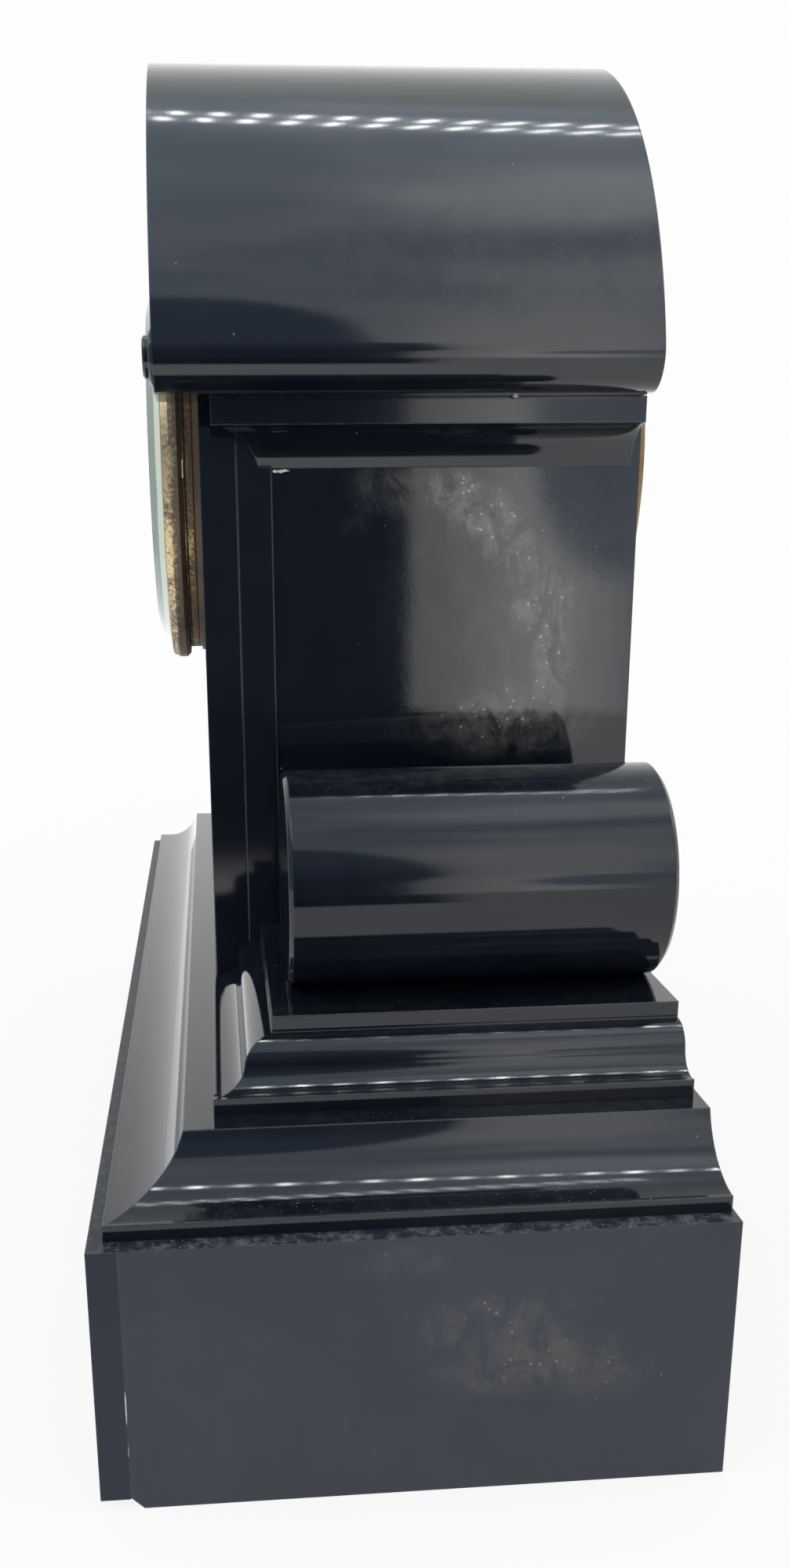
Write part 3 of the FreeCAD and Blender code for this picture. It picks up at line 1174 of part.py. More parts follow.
def going_train():
    third_pinion_y = CENTRE_Y + (WHEEL_THICKNESS - PINION_LENGTH) / 2
    second = mounted_wheel(SECOND, GOING_BARREL, GREAT_TEETH, SECOND_LEAVES, GREAT_MODULE, SECOND_PINION_Y,
                           SECOND_TEETH, SECOND_MODULE, SECOND_Y, False)
    third = mounted_wheel(THIRD, CENTRE, CENTRE_TEETH, THIRD_LEAVES, CENTRE_MODULE, third_pinion_y,
                          THIRD_TEETH, THIRD_MODULE, THIRD_Y, False)
    return {
        "going_second_wheel": second,
        "centre_wheel": centre_wheel(),
        "third_wheel": third,
        "escape_wheel": escape_wheel(),
    }


def strike_train():
    """Second, pin and warning wheels, and the fly that sets the pace of the blows."""
    second = mounted_wheel(STRIKE_SECOND, STRIKE_BARREL, GREAT_TEETH, SECOND_LEAVES, GREAT_MODULE,
                           SECOND_PINION_Y, STRIKE_SECOND_TEETH, STRIKE_SECOND_MODULE, SECOND_Y, False)
    pin_pinion_y = SECOND_Y + (WHEEL_THICKNESS - PINION_LENGTH) / 2
    pin_wheel = mounted_wheel(PIN_WHEEL, STRIKE_SECOND, STRIKE_SECOND_TEETH, PIN_LEAVES,
                              STRIKE_SECOND_MODULE, pin_pinion_y, PIN_TEETH, PIN_MODULE, CENTRE_Y, True)
    pins = []
    for index in range(PIN_COUNT):
        place = at(PIN_WHEEL, 360 * index / PIN_COUNT, PIN_CIRCLE)
        pins.append(rod_y(place, PIN_RADIUS, CENTRE_Y, CENTRE_Y + WHEEL_THICKNESS + PIN_LENGTH))
    warning_pinion_y = CENTRE_Y + (WHEEL_THICKNESS - PINION_LENGTH) / 2
    warning = mounted_wheel(WARNING, PIN_WHEEL, PIN_TEETH, WARNING_LEAVES, PIN_MODULE, warning_pinion_y,
                            WARNING_TEETH, WARNING_MODULE, SECOND_Y, True)
    fly_phase = mesh_phase(WARNING, FLY, WARNING_TEETH, 0, FLY_LEAVES)
    fly_pinion_y = SECOND_Y + (WHEEL_THICKNESS - PINION_LENGTH) / 2
    leaf = pinion(FLY, FLY_LEAVES, WARNING_MODULE, fly_phase, fly_pinion_y)
    vane_y = fly_pinion_y - FLY_VANE_LENGTH
    vane = block(FLY[0] - FLY_VANE_RADIUS, FLY[0] + FLY_VANE_RADIUS, vane_y, fly_pinion_y,
                 FLY[1] - FLY_VANE_THICKNESS / 2, FLY[1] + FLY_VANE_THICKNESS / 2)
    fly = fused([leaf, vane, arbor(FLY, SMALL_ARBOR_RADIUS, SMALL_PIVOT_RADIUS)])
    return {
        "strike_second_wheel": second,
        "strike_pin_wheel": fused([pin_wheel] + pins),
        "warning_wheel": warning,
        "strike_fly": fly,
    }


def pallets():
    """Anchor over the escape wheel, its arbor, and the crutch behind the back plate."""
    nose = ESCAPE_RADIUS + PALLET_GAP
    reach = PALLET_ARBOR_ABOVE_ESCAPE * PALLET_REACH_SHARE
    nose_z = ESCAPE[1] + math.sqrt(nose ** 2 - reach ** 2)
    half = PALLET_ARM_WIDTH / 2
    top = PALLET[1]
    anchor = prism_y([
        (-half, top + half),
        (-reach - PALLET_ARM_WIDTH, top - half),
        (-reach - PALLET_ARM_WIDTH, nose_z),
        (-reach, nose_z + half),
        (-reach, top - PALLET_ARM_WIDTH - half),
        (0, top - PALLET_ARM_WIDTH),
        (reach, top - PALLET_ARM_WIDTH - half),
        (reach, nose_z + half),
        (reach + PALLET_ARM_WIDTH, nose_z),
        (reach + PALLET_ARM_WIDTH, top - half),
        (half, top + half),
    ], PALLET_Y, PALLET_Y + PALLET_THICKNESS)
    boss = rod_y(PALLET, PALLET_ARM_WIDTH, PALLET_Y, PALLET_Y + PALLET_THICKNESS)
    crutch_end_y = CRUTCH_Y + CRUTCH_THICKNESS
    shaft = rod_y(PALLET, ARBOR_RADIUS, GAP_FRONT_Y + ARBOR_SHAKE, crutch_end_y + ARBOR_SHAKE)
    front_pivot = rod_y(PALLET, SMALL_PIVOT_RADIUS, PLATE_FRONT_Y + ARBOR_SHAKE, GAP_BACK_Y)
    rear_pivot = rod_y(PALLET, SMALL_PIVOT_RADIUS, GAP_BACK_Y, COCK_Y + COCK_THICKNESS)
    low = PALLET[1] - CRUTCH_LENGTH
    arm_half = CRUTCH_WIDTH / 2
    arm = block(-arm_half, arm_half, CRUTCH_Y, crutch_end_y, low - arm_half, PALLET[1])
    pin_end_y = PENDULUM_Y + PENDULUM_ROD_THICKNESS
    pin = rod_y((0, low), CRUTCH_PIN_RADIUS, CRUTCH_Y, pin_end_y)
    return {"pallets_and_crutch": fused([anchor, boss, shaft, front_pivot, rear_pivot, arm, pin])}


def cocks():
    """The bridge behind the pallet arbor and the cock that the pendulum hangs from."""
    z0, z1 = PALLET[1] - COCK_HEIGHT / 2, PALLET[1] + COCK_HEIGHT / 2
    bridge = block(-COCK_HALF_WIDTH, COCK_HALF_WIDTH, COCK_Y, COCK_Y + COCK_THICKNESS, z0, z1)
    inner = COCK_HALF_WIDTH - COCK_FOOT_WIDTH
    right = block(inner, COCK_HALF_WIDTH, PLATE_BACK_Y, COCK_Y, z0, z1)
    left = mirrored(right)
    hole_radius = SMALL_PIVOT_RADIUS + RUNNING_CLEARANCE
    hole = rod_y(PALLET, hole_radius, COCK_Y - OVERRUN, COCK_Y + COCK_THICKNESS + OVERRUN)
    low = PALLET[1] + SUSPENSION_COCK_RISE
    high = low + SUSPENSION_COCK_HEIGHT
    depth = PENDULUM_Y + SUSPENSION_WIDTH / 2 + COCK_THICKNESS
    cock = block(-SUSPENSION_COCK_HALF_WIDTH, SUSPENSION_COCK_HALF_WIDTH, PLATE_BACK_Y, depth, low, high)
    spring = block(-SUSPENSION_THICKNESS / 2, SUSPENSION_THICKNESS / 2, PENDULUM_Y - SUSPENSION_WIDTH / 2,
                   PENDULUM_Y + SUSPENSION_WIDTH / 2, PALLET[1] - SUSPENSION_BELOW, high - COCK_THICKNESS)
    return {
        "pallet_cock": fused([bridge, right, left]).cut(hole),
        "suspension_cock": cock.cut(spring),
        "suspension_spring": spring,
    }


def pendulum():
    """Slotted head, flat rod with an eye for the crutch pin, lens bob and rating nut."""
    head_top = PALLET[1] - PENDULUM_HEAD_TOP
    head_low = head_top - PENDULUM_HEAD_HEIGHT
    half = PENDULUM_HEAD_WIDTH / 2
    head = block(-half, half, PENDULUM_Y - PENDULUM_HEAD_DEPTH / 2, PENDULUM_Y + PENDULUM_HEAD_DEPTH / 2,
                 head_low, head_top)
    slot_side = SUSPENSION_THICKNESS / 2 + SUSPENSION_SLOT_SIDE
    slot_low = PALLET[1] - SUSPENSION_BELOW - SUSPENSION_SLOT_SIDE
    slot = block(-slot_side, slot_side, PENDULUM_Y - PENDULUM_HEAD_DEPTH, PENDULUM_Y + PENDULUM_HEAD_DEPTH,
                 slot_low, head_top + OVERRUN)
    bob_at = (0, UPPER_TOP + PENDULUM_FOOT_GAP + PENDULUM_TAIL)
    rod_half = PENDULUM_ROD_WIDTH / 2
    thick = PENDULUM_ROD_THICKNESS / 2
    rod_low = bob_at[1] - BOB_RADIUS + NUT_HEIGHT
    strip = block(-rod_half, rod_half, PENDULUM_Y - thick, PENDULUM_Y + thick, rod_low, head_low)
    pin_z = PALLET[1] - CRUTCH_LENGTH
    eye_half = PENDULUM_EYE_HEIGHT / 2
    eye = block(-PENDULUM_EYE_HALF_WIDTH, PENDULUM_EYE_HALF_WIDTH, PENDULUM_Y - thick, PENDULUM_Y + thick,
                pin_z - eye_half, pin_z + eye_half)
    eye_slot_half = CRUTCH_PIN_RADIUS + RUNNING_CLEARANCE
    eye_reach = eye_half - rod_half
    eye_slot = block(-eye_slot_half, eye_slot_half, PENDULUM_Y - PENDULUM_HEAD_DEPTH,
                     PENDULUM_Y + PENDULUM_HEAD_DEPTH, pin_z - eye_reach, pin_z + eye_reach)
    tail_low = bob_at[1] - PENDULUM_TAIL
    tail = Part.makeCylinder(thick, rod_low - tail_low, vec(0, PENDULUM_Y, tail_low))
    rod = fused([head, strip, eye, tail]).cut(slot).cut(eye_slot)
    bob_half = BOB_THICKNESS / 2
    edge = BOB_EDGE / 2
    lens = turned_y(bob_at, [
        (0, PENDULUM_Y - bob_half),
        (BOB_RADIUS / 2, PENDULUM_Y - bob_half + edge),
        (BOB_RADIUS, PENDULUM_Y - edge),
        (BOB_RADIUS, PENDULUM_Y + edge),
        (BOB_RADIUS / 2, PENDULUM_Y + bob_half - edge),
        (0, PENDULUM_Y + bob_half),
    ])
    slide_half = rod_half + RUNNING_CLEARANCE
    slide_thick = thick + RUNNING_CLEARANCE
    passage = block(-slide_half, slide_half, PENDULUM_Y - slide_thick, PENDULUM_Y + slide_thick,
                    bob_at[1] - BOB_RADIUS - OVERRUN, bob_at[1] + BOB_RADIUS + OVERRUN)
    nut_top = bob_at[1] - BOB_RADIUS - NUT_GAP
    nut = Part.makeCylinder(NUT_RADIUS, NUT_HEIGHT, vec(0, PENDULUM_Y, nut_top - NUT_HEIGHT))
    nut_bore = Part.makeCylinder(thick + RUNNING_CLEARANCE, NUT_HEIGHT + 2 * OVERRUN,
                                 vec(0, PENDULUM_Y, nut_top - NUT_HEIGHT - OVERRUN))
    return {
        "pendulum_rod": rod,
        "pendulum_bob": lens.cut(passage),
        "rating_nut": nut.cut(nut_bore),
    }


def bell_and_stand():
    """A cup bell, mouth to the movement, on a stud that its stand carries behind the pendulum."""
    shoulder_y = BELL_CROWN_Y - BELL_SHOULDER
    outer = [
        (BELL_RADIUS, BELL_RIM_Y),
        (BELL_RADIUS - BELL_WALL, BELL_RIM_Y + BELL_DEPTH / 2),
        (BELL_RADIUS - BELL_SHOULDER, shoulder_y),
        (BELL_CROWN_RADIUS, BELL_CROWN_Y),
        (BELL_BORE, BELL_CROWN_Y),
    ]
    inner = [
        (BELL_BORE, BELL_CROWN_Y - BELL_WALL),
        (BELL_CROWN_RADIUS, BELL_CROWN_Y - BELL_WALL),
        (BELL_RADIUS - BELL_SHOULDER - BELL_WALL, shoulder_y - BELL_WALL / 2),
        (BELL_RADIUS - 2 * BELL_WALL, BELL_RIM_Y + BELL_DEPTH / 2),
        (BELL_RADIUS - BELL_WALL, BELL_RIM_Y),
    ]
    bell = turned_y(CENTRE, outer + inner)
    foot_at = raised(BELL_FOOT)
    arm_back_y = BELL_ARM_Y + BELL_ARM_THICKNESS
    foot = rod_y(foot_at, BELL_FOOT_RADIUS, PLATE_BACK_Y, PLATE_BACK_Y + BELL_FOOT_THICKNESS)
    post = rod_y(foot_at, BELL_POST_RADIUS, PLATE_BACK_Y, arm_back_y)
    length = math.dist(foot_at, CENTRE)
    half = BELL_ARM_WIDTH / 2
    arm = block(0, length, BELL_ARM_Y, arm_back_y, -half, half)
    bearing = math.degrees(math.atan2(CENTRE[1] - foot_at[1], CENTRE[0] - foot_at[0]))
    arm.rotate(vec(0, 0, 0), vec(0, 1, 0), -bearing)
    arm.translate(vec(foot_at[0], 0, foot_at[1]))
    ends = [rod_y(place, half, BELL_ARM_Y, arm_back_y) for place in (foot_at, CENTRE)]
    stud = rod_y(CENTRE, BELL_STUD_RADIUS, BELL_ARM_Y, BELL_CROWN_Y + BELL_STUD_PROUD)
    seat_y = BELL_CROWN_Y - BELL_WALL
    collar = rod_y(CENTRE, BELL_NUT_RADIUS, seat_y - BELL_WALL, seat_y)
    nut = rod_y(CENTRE, BELL_NUT_RADIUS, BELL_CROWN_Y, BELL_CROWN_Y + BELL_NUT_HEIGHT)
    return {"bell": bell, "bell_stand": fused([foot, post, arm, stud, collar, nut] + ends)}


def hammer():
    """Arbor through both plates, a tail to the pin wheel and the head outside the bell's rim."""
    head_from = BELL_RADIUS + HAMMER_HEAD_GAP
    head_low = at(CENTRE, HAMMER_HEAD_BEARING, head_from)
    head_mid = at(CENTRE, HAMMER_HEAD_BEARING, head_from + HAMMER_HEAD_LENGTH / 2)
    angle = math.radians(HAMMER_HEAD_BEARING)
    head_foot = vec(head_low[0], HAMMER_Y, head_low[1])
    outward = vec(math.cos(angle), 0, math.sin(angle))
    head = Part.makeCylinder(HAMMER_HEAD_RADIUS, HAMMER_HEAD_LENGTH, head_foot, outward)
    half = HAMMER_ARM_WIDTH / 2
    y0, y1 = HAMMER_Y - HAMMER_ARM_THICKNESS / 2, HAMMER_Y + HAMMER_ARM_THICKNESS / 2

    def bar(end, low_y, high_y):
        length = math.dist(HAMMER, end)
        piece = block(0, length, low_y, high_y, -half, half)
        bearing = math.degrees(math.atan2(end[1] - HAMMER[1], end[0] - HAMMER[0]))
        piece.rotate(vec(0, 0, 0), vec(0, 1, 0), -bearing)
        piece.translate(vec(HAMMER[0], 0, HAMMER[1]))
        return piece

    tail_y = CENTRE_Y + WHEEL_THICKNESS + HAMMER_TAIL_GAP
    tail_length = math.dist(HAMMER, PIN_WHEEL) - PIN_CIRCLE - PIN_RADIUS - HAMMER_TAIL_GAP - half
    bearing = math.degrees(math.atan2(PIN_WHEEL[1] - HAMMER[1], PIN_WHEEL[0] - HAMMER[0]))
    tail = bar(at(HAMMER, bearing, tail_length), tail_y, tail_y + HAMMER_ARM_THICKNESS)
    shaft = rod_y(HAMMER, HAMMER_ARBOR_RADIUS, GAP_FRONT_Y + ARBOR_SHAKE, y1)
    pivot = rod_y(HAMMER, PIVOT_RADIUS, PLATE_FRONT_Y + ARBOR_SHAKE, GAP_BACK_Y)
    return {"hammer": fused([shaft, pivot, tail, bar(head_mid, y0, y1), head])}


def rear_cover():
    """The ring that the straps pull against the back slab, and the hinged door on it."""
    spigot = REAR_HOLE_RADIUS - SPIGOT_CLEARANCE
    bore = spigot - REAR_SPIGOT_WALL
    outline = [
        (bore, BODY_BACK_Y - REAR_SPIGOT_LENGTH),
        (spigot, BODY_BACK_Y - REAR_SPIGOT_LENGTH),
        (spigot, BODY_BACK_Y),
        (REAR_RING_RADIUS, BODY_BACK_Y),
        (REAR_RING_RADIUS, REAR_FACE_Y),
        (bore, REAR_FACE_Y),
    ]
    ring = turned_y(CENTRE, outline)
    lug_outer = bore + REAR_SPIGOT_WALL / 2
    lug_inner = STRAP_OFFSET + STRAP_THICKNESS - STRAP_BLOCK
    half = STRAP_WIDTH / 2
    lug_y = BODY_BACK_Y - REAR_LUG_THICKNESS
    lug = block(lug_inner, lug_outer, lug_y, BODY_BACK_Y, DIAL_HEIGHT - half, DIAL_HEIGHT + half)
    screw_at = (STRAP_OFFSET + STRAP_THICKNESS - STRAP_BLOCK / 2, DIAL_HEIGHT)
    lug = lug.cut(rod_y(screw_at, STRAP_SCREW_RADIUS + RUNNING_CLEARANCE, lug_y - OVERRUN, REAR_FACE_Y))
    screw_room = rod_y(screw_at, STRAP_SCREW_HEAD_RADIUS + SLAB_FIT, BODY_BACK_Y, REAR_FACE_Y + OVERRUN)
    ring = fused([ring, lug, mirrored(lug)]).cut(screw_room).cut(mirrored(screw_room))
    fixed = hinged_ring(ring, REAR_HINGE_X, REAR_HINGE_Y, BODY_BACK_Y + SLAB_FIT, REAR_HINGE_Y,
                        -REAR_RING_RADIUS, True)
    rim_y = REAR_DOOR_Y + REAR_DOOR_RIM
    disc_y = rim_y - REAR_DOOR_THICKNESS
    rim_bore = REAR_DOOR_RADIUS - REAR_DOOR_RIM_WALL
    knob_y = rim_y + REAR_DOOR_KNOB_PROUD
    door_outline = [
        (rim_bore, REAR_DOOR_Y),
        (REAR_DOOR_RADIUS, REAR_DOOR_Y),
        (REAR_DOOR_RADIUS, rim_y),
        (REAR_DOOR_KNOB_RADIUS, rim_y),
        (REAR_DOOR_KNOB_RADIUS, knob_y),
        (0, knob_y),
        (0, disc_y),
        (rim_bore, disc_y),
    ]
    door = hinged_ring(turned_y(CENTRE, door_outline), REAR_HINGE_X, REAR_HINGE_Y, REAR_DOOR_Y,
                       REAR_DOOR_Y + HINGE_KNUCKLE_RADIUS, -REAR_DOOR_RADIUS, False)
    return {"rear_ring": fixed, "rear_door": door}


def build():
    nodes = {}
    for section in (base_block, lower_plinth, upper_plinth, body, hood, cornices, rolls, roundels, bezel,
                    dial, hands, plates, straps, barrels, going_train, strike_train, pallets, cocks,
                    pendulum, bell_and_stand, hammer, rear_cover):
        nodes.update(section())
    return nodes


os.makedirs("parts", exist_ok=True)
for name, shape in build().items():
    shape.exportStep(os.path.join("parts", name + ".step"))
    print(name, round(shape.Volume, 1), "solids", len(shape.Solids), "valid", shape.isValid())
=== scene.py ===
import logging
import math
from dataclasses import dataclass
from enum import Enum
from functools import cached_property, reduce
from typing import Callable, Iterable, Optional, Sequence, Union

import bmesh
import bpy
from mathutils import Matrix, Vector


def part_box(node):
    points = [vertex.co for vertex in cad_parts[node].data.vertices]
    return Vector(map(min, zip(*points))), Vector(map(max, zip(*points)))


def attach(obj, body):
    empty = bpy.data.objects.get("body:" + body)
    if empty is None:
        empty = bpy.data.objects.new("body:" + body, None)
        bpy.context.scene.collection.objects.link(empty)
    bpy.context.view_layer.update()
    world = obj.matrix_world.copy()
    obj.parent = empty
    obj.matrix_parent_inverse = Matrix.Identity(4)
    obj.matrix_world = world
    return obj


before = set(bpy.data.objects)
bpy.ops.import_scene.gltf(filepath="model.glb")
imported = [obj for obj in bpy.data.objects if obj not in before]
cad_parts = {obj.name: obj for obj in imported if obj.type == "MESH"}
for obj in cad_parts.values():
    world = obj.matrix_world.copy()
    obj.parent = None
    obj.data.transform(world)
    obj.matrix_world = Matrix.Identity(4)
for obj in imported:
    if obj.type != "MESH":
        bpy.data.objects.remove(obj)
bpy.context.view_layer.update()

LOG = logging.getLogger("slate_clock")
MM = 0.001
DEGREES = 180.0 / math.pi
TURN = 2 * math.pi
QUARTER = math.pi / 2
SMOOTH_BELOW = math.radians(40.0)
MERGE_BELOW = 1e-7
Colour = tuple[float, float, float]
Place = tuple[float, float, float]
Pair = tuple[float, float]
Material = bpy.types.Material
Mesh = bpy.types.Mesh
Value = Union["Wire", float, Sequence[float]]
Inputs = dict[Union[int, str], object]
Finishes = dict[str, Material]
UNIT: Place = (1.0, 1.0, 1.0)
NOWHERE: Place = (0.0, 0.0, 0.0)
WHITE: Colour = (1.0, 1.0, 1.0)


class Polish(Enum):
    """How a face of the stone was left."""

    HIGH = "high"
    RUBBED = "rubbed"
    SAWN = "sawn"


def sign(operation: str, swapped: bool = False) -> Callable[["Wire", Value], "Wire"]:
    """An arithmetic sign after a wire, or before it if swapped."""
    return lambda wire, other: wire.maths(operation, *((other, wire) if swapped else (wire, other)))


class Wire:
    """An output of a node. Arithmetic on it adds Math nodes."""

    __add__ = sign("ADD")
    __radd__ = sign("ADD", swapped=True)
    __sub__ = sign("SUBTRACT")
    __rsub__ = sign("SUBTRACT", swapped=True)
    __mul__ = sign("MULTIPLY")
    __truediv__ = sign("DIVIDE")
    __pow__ = sign("POWER")

    def __init__(self, nodes: "Nodes", socket: bpy.types.NodeSocket) -> None:
        """Keeps the output and the tree that it is in."""
        self.nodes = nodes
        self.socket = socket

    def maths(self, operation: str, first: Value, second: Value = 0.0, clamp: bool = False) -> "Wire":
        """One Math node, held between 0 and 1 where clamp is set."""
        inputs = {0: first, 1: second}
        return self.nodes.wire("ShaderNodeMath", inputs, operation=operation, use_clamp=clamp)

    def clamped(self) -> "Wire":
        """Holds the value between 0 and 1."""
        return self.maths("ADD", self, 0.0, clamp=True)

    def at_least(self, floor: float) -> "Wire":
        """The larger of this and another value."""
        return self.maths("MAXIMUM", self, floor)

    def bearing(self, across: Value) -> "Wire":
        """The angle in degrees of a point this far up and another value across."""
        return self.maths("ARCTAN2", self, across) * DEGREES

    def tilt(self) -> "Wire":
        """The angle in degrees whose sine this is."""
        return self.maths("ARCSINE", self) * DEGREES

    def step(self, low: float, high: float) -> "Wire":
        """Rises smoothly from 0 at low to 1 at high."""
        inputs = {0: self, 1: low, 2: high, 3: 0.0, 4: 1.0}
        return self.nodes.wire("ShaderNodeMapRange", inputs, interpolation_type="SMOOTHSTEP")

    def between(self, low: float, rise: float, fall: float, high: float) -> "Wire":
        """Rises smoothly from low to rise and falls again from fall to high."""
        return self.step(low, rise) * (1 - self.step(fall, high))

    def axis(self, index: int) -> "Wire":
        """One component of a vector: 0 for X, 1 for Y and 2 for Z."""
        return self.nodes.wire("ShaderNodeSeparateXYZ", {0: self}, index)


class Nodes:
    """Fills one node tree."""

    def __init__(self, tree: bpy.types.NodeTree) -> None:
        """Starts from an empty tree."""
        self.tree = tree
        self.tree.nodes.clear()

    def node(self, kind: str, inputs: Inputs, **settings: object) -> bpy.types.Node:
        """Adds one node.

        Args:
            kind: The node's type.
            inputs: A value or a wire for each input, by name or index.
            settings: Its settings, set first.

        Returns:
            The node.
        """
        node = self.tree.nodes.new(kind)
        for name, setting in settings.items():
            setattr(node, name, setting)
        for key, value in inputs.items():
            if isinstance(value, Wire):
                self.tree.links.new(value.socket, node.inputs[key])
            else:
                node.inputs[key].default_value = value
        return node

    def wire(self, kind: str, inputs: Inputs, output: Union[int, str] = 0, **settings: object) -> Wire:
        """Adds one node in the same way and gives one of its outputs."""
        return Wire(self, self.node(kind, inputs, **settings).outputs[output])


def with_alpha(colour: Value) -> Value:
    """A colour with an alpha of 1, or a wire as it is."""
    return (*colour, 1.0) if isinstance(colour, tuple) else colour


class Shader(Nodes):
    """Builds the nodes of one material or of the world."""

    @cached_property
    def here(self) -> Wire:
        """Object coordinates in metres."""
        return self.place()

    def place(self, scale: Place = UNIT, turn: Place = NOWHERE) -> Wire:
        """Object coordinates, turned by angles in radians and stretched."""
        start = self.wire("ShaderNodeTexCoord", {}, "Object")
        return self.wire("ShaderNodeMapping", {"Vector": start, "Rotation": turn, "Scale": scale})

    def noise(self, scale: float, detail: float = 4.0, roughness: float = 0.55, distortion: float = 0.0,
              where: Optional[Wire] = None) -> Wire:
        """Cloudy noise from 0 to 1, scale features to the metre with detail finer layers."""
        shape = {"Scale": scale, "Detail": detail, "Roughness": roughness, "Distortion": distortion}
        return self.wire("ShaderNodeTexNoise", {"Vector": where or self.here, **shape})

    def cells(self, scale: float, feature: str = "F1") -> Wire:
        """The distance from a feature of random cells, scale cells to the metre."""
        inputs = {"Vector": self.here, "Scale": scale}
        return self.wire("ShaderNodeTexVoronoi", inputs, "Distance", feature=feature)

    def specks(self, scale: float, size: float) -> Wire:
        """1 in round spots, one to a cell; size is their share of it."""
        return 1 - self.cells(scale).step(size * 0.6, size)

    def mix(self, factor: Value, first: Value, second: Value) -> Wire:
        """Blends two colours, the first at 0 and the second at 1."""
        inputs = {0: factor, 6: with_alpha(first), 7: with_alpha(second)}
        return self.wire("ShaderNodeMix", inputs, 2, data_type="RGBA", clamp_factor=True)

    def layered(self, colour: Value, *layers: tuple[Value, Value]) -> Value:
        """A colour with others blended over it in order, each given after its amount."""
        return reduce(lambda under, layer: self.mix(layer[0], under, layer[1]), layers, colour)

    def vector(self, operation: str, first: Wire, second: Value = NOWHERE, output: int = 0) -> Wire:
        """One Vector Math node; output 1 is the one that gives a number."""
        return self.wire("ShaderNodeVectorMath", {0: first, 1: second}, output, operation=operation)

    def span(self, centre: Place, stretch: Place = UNIT) -> Wire:
        """The distance from a point, with each axis multiplied by its stretch."""
        offset = self.vector("MULTIPLY", self.vector("SUBTRACT", self.here, centre), stretch)
        return self.vector("LENGTH", offset, output=1)

    def bump(self, height: Wire, depth: float, strength: float = 1.0, over: Optional[Wire] = None) -> Wire:
        """A normal from a height whose 1 is depth metres, over another if there is one."""
        inputs = {"Height": height, "Distance": depth, "Strength": strength}
        return self.wire("ShaderNodeBump", {**inputs, **({"Normal": over} if over else {})})

    def rays(self) -> tuple[Wire, ...]:
        """1 for a ray from the camera, for a mirrored one and for one that came through glass."""
        paths = self.node("ShaderNodeLightPath", {}).outputs
        return tuple(Wire(self, paths[f"Is {kind} Ray"]) for kind in ("Camera", "Glossy", "Transmission"))

    def glow(self, colour: Colour, strength: float) -> Wire:
        """Light of one colour."""
        return self.wire("ShaderNodeEmission", {"Color": with_alpha(colour), "Strength": strength})

    def blend(self, factor: Wire, first: Wire, second: Wire) -> Wire:
        """Blends two shaders."""
        return self.wire("ShaderNodeMixShader", {0: factor, 1: first, 2: second})

    def principled(self, inputs: Inputs) -> Wire:
        """A Principled shader."""
        return self.wire("ShaderNodeBsdfPrincipled", inputs)

    def end(self, surface: Wire) -> None:
        """Ends a material in a shader."""
        self.node("ShaderNodeOutputMaterial", {"Surface": surface})


def new_material(name: str) -> tuple[Material, Shader]:
    """Makes an empty material.

    Args:
        name: The material's name.

    Returns:
        The material and the shader that fills it.
    """
    material = bpy.data.materials.new(name)
    material.use_nodes = True
    return material, Shader(material.node_tree)


@dataclass(frozen=True)
class Finish:
    """A finish by name."""

    name: str

    def build(self) -> Material:
        """Makes the material.

        Returns:
            The material.
        """
        material, shader = new_material(self.name)
        shader.end(self.surface(shader))
        return material

    def surface(self, shader: Shader) -> Wire:
        """The finish's own shader."""
        raise NotImplementedError


@dataclass(frozen=True)
class Smear:
    """A hazy patch that a cloth or a hand left on the polish."""

    centre: Place
    reach: Place
    strength: float = 1.0


def face_smears(across: float, reach: float, *rows: tuple[float, ...]) -> tuple[Smear, ...]:
    """Smears on a face at one X, as rows of Y, Z, the reach along each, and the strength."""
    return tuple(Smear((across, y, z), (reach, wide, tall), strength) for y, z, wide, tall, strength in rows)


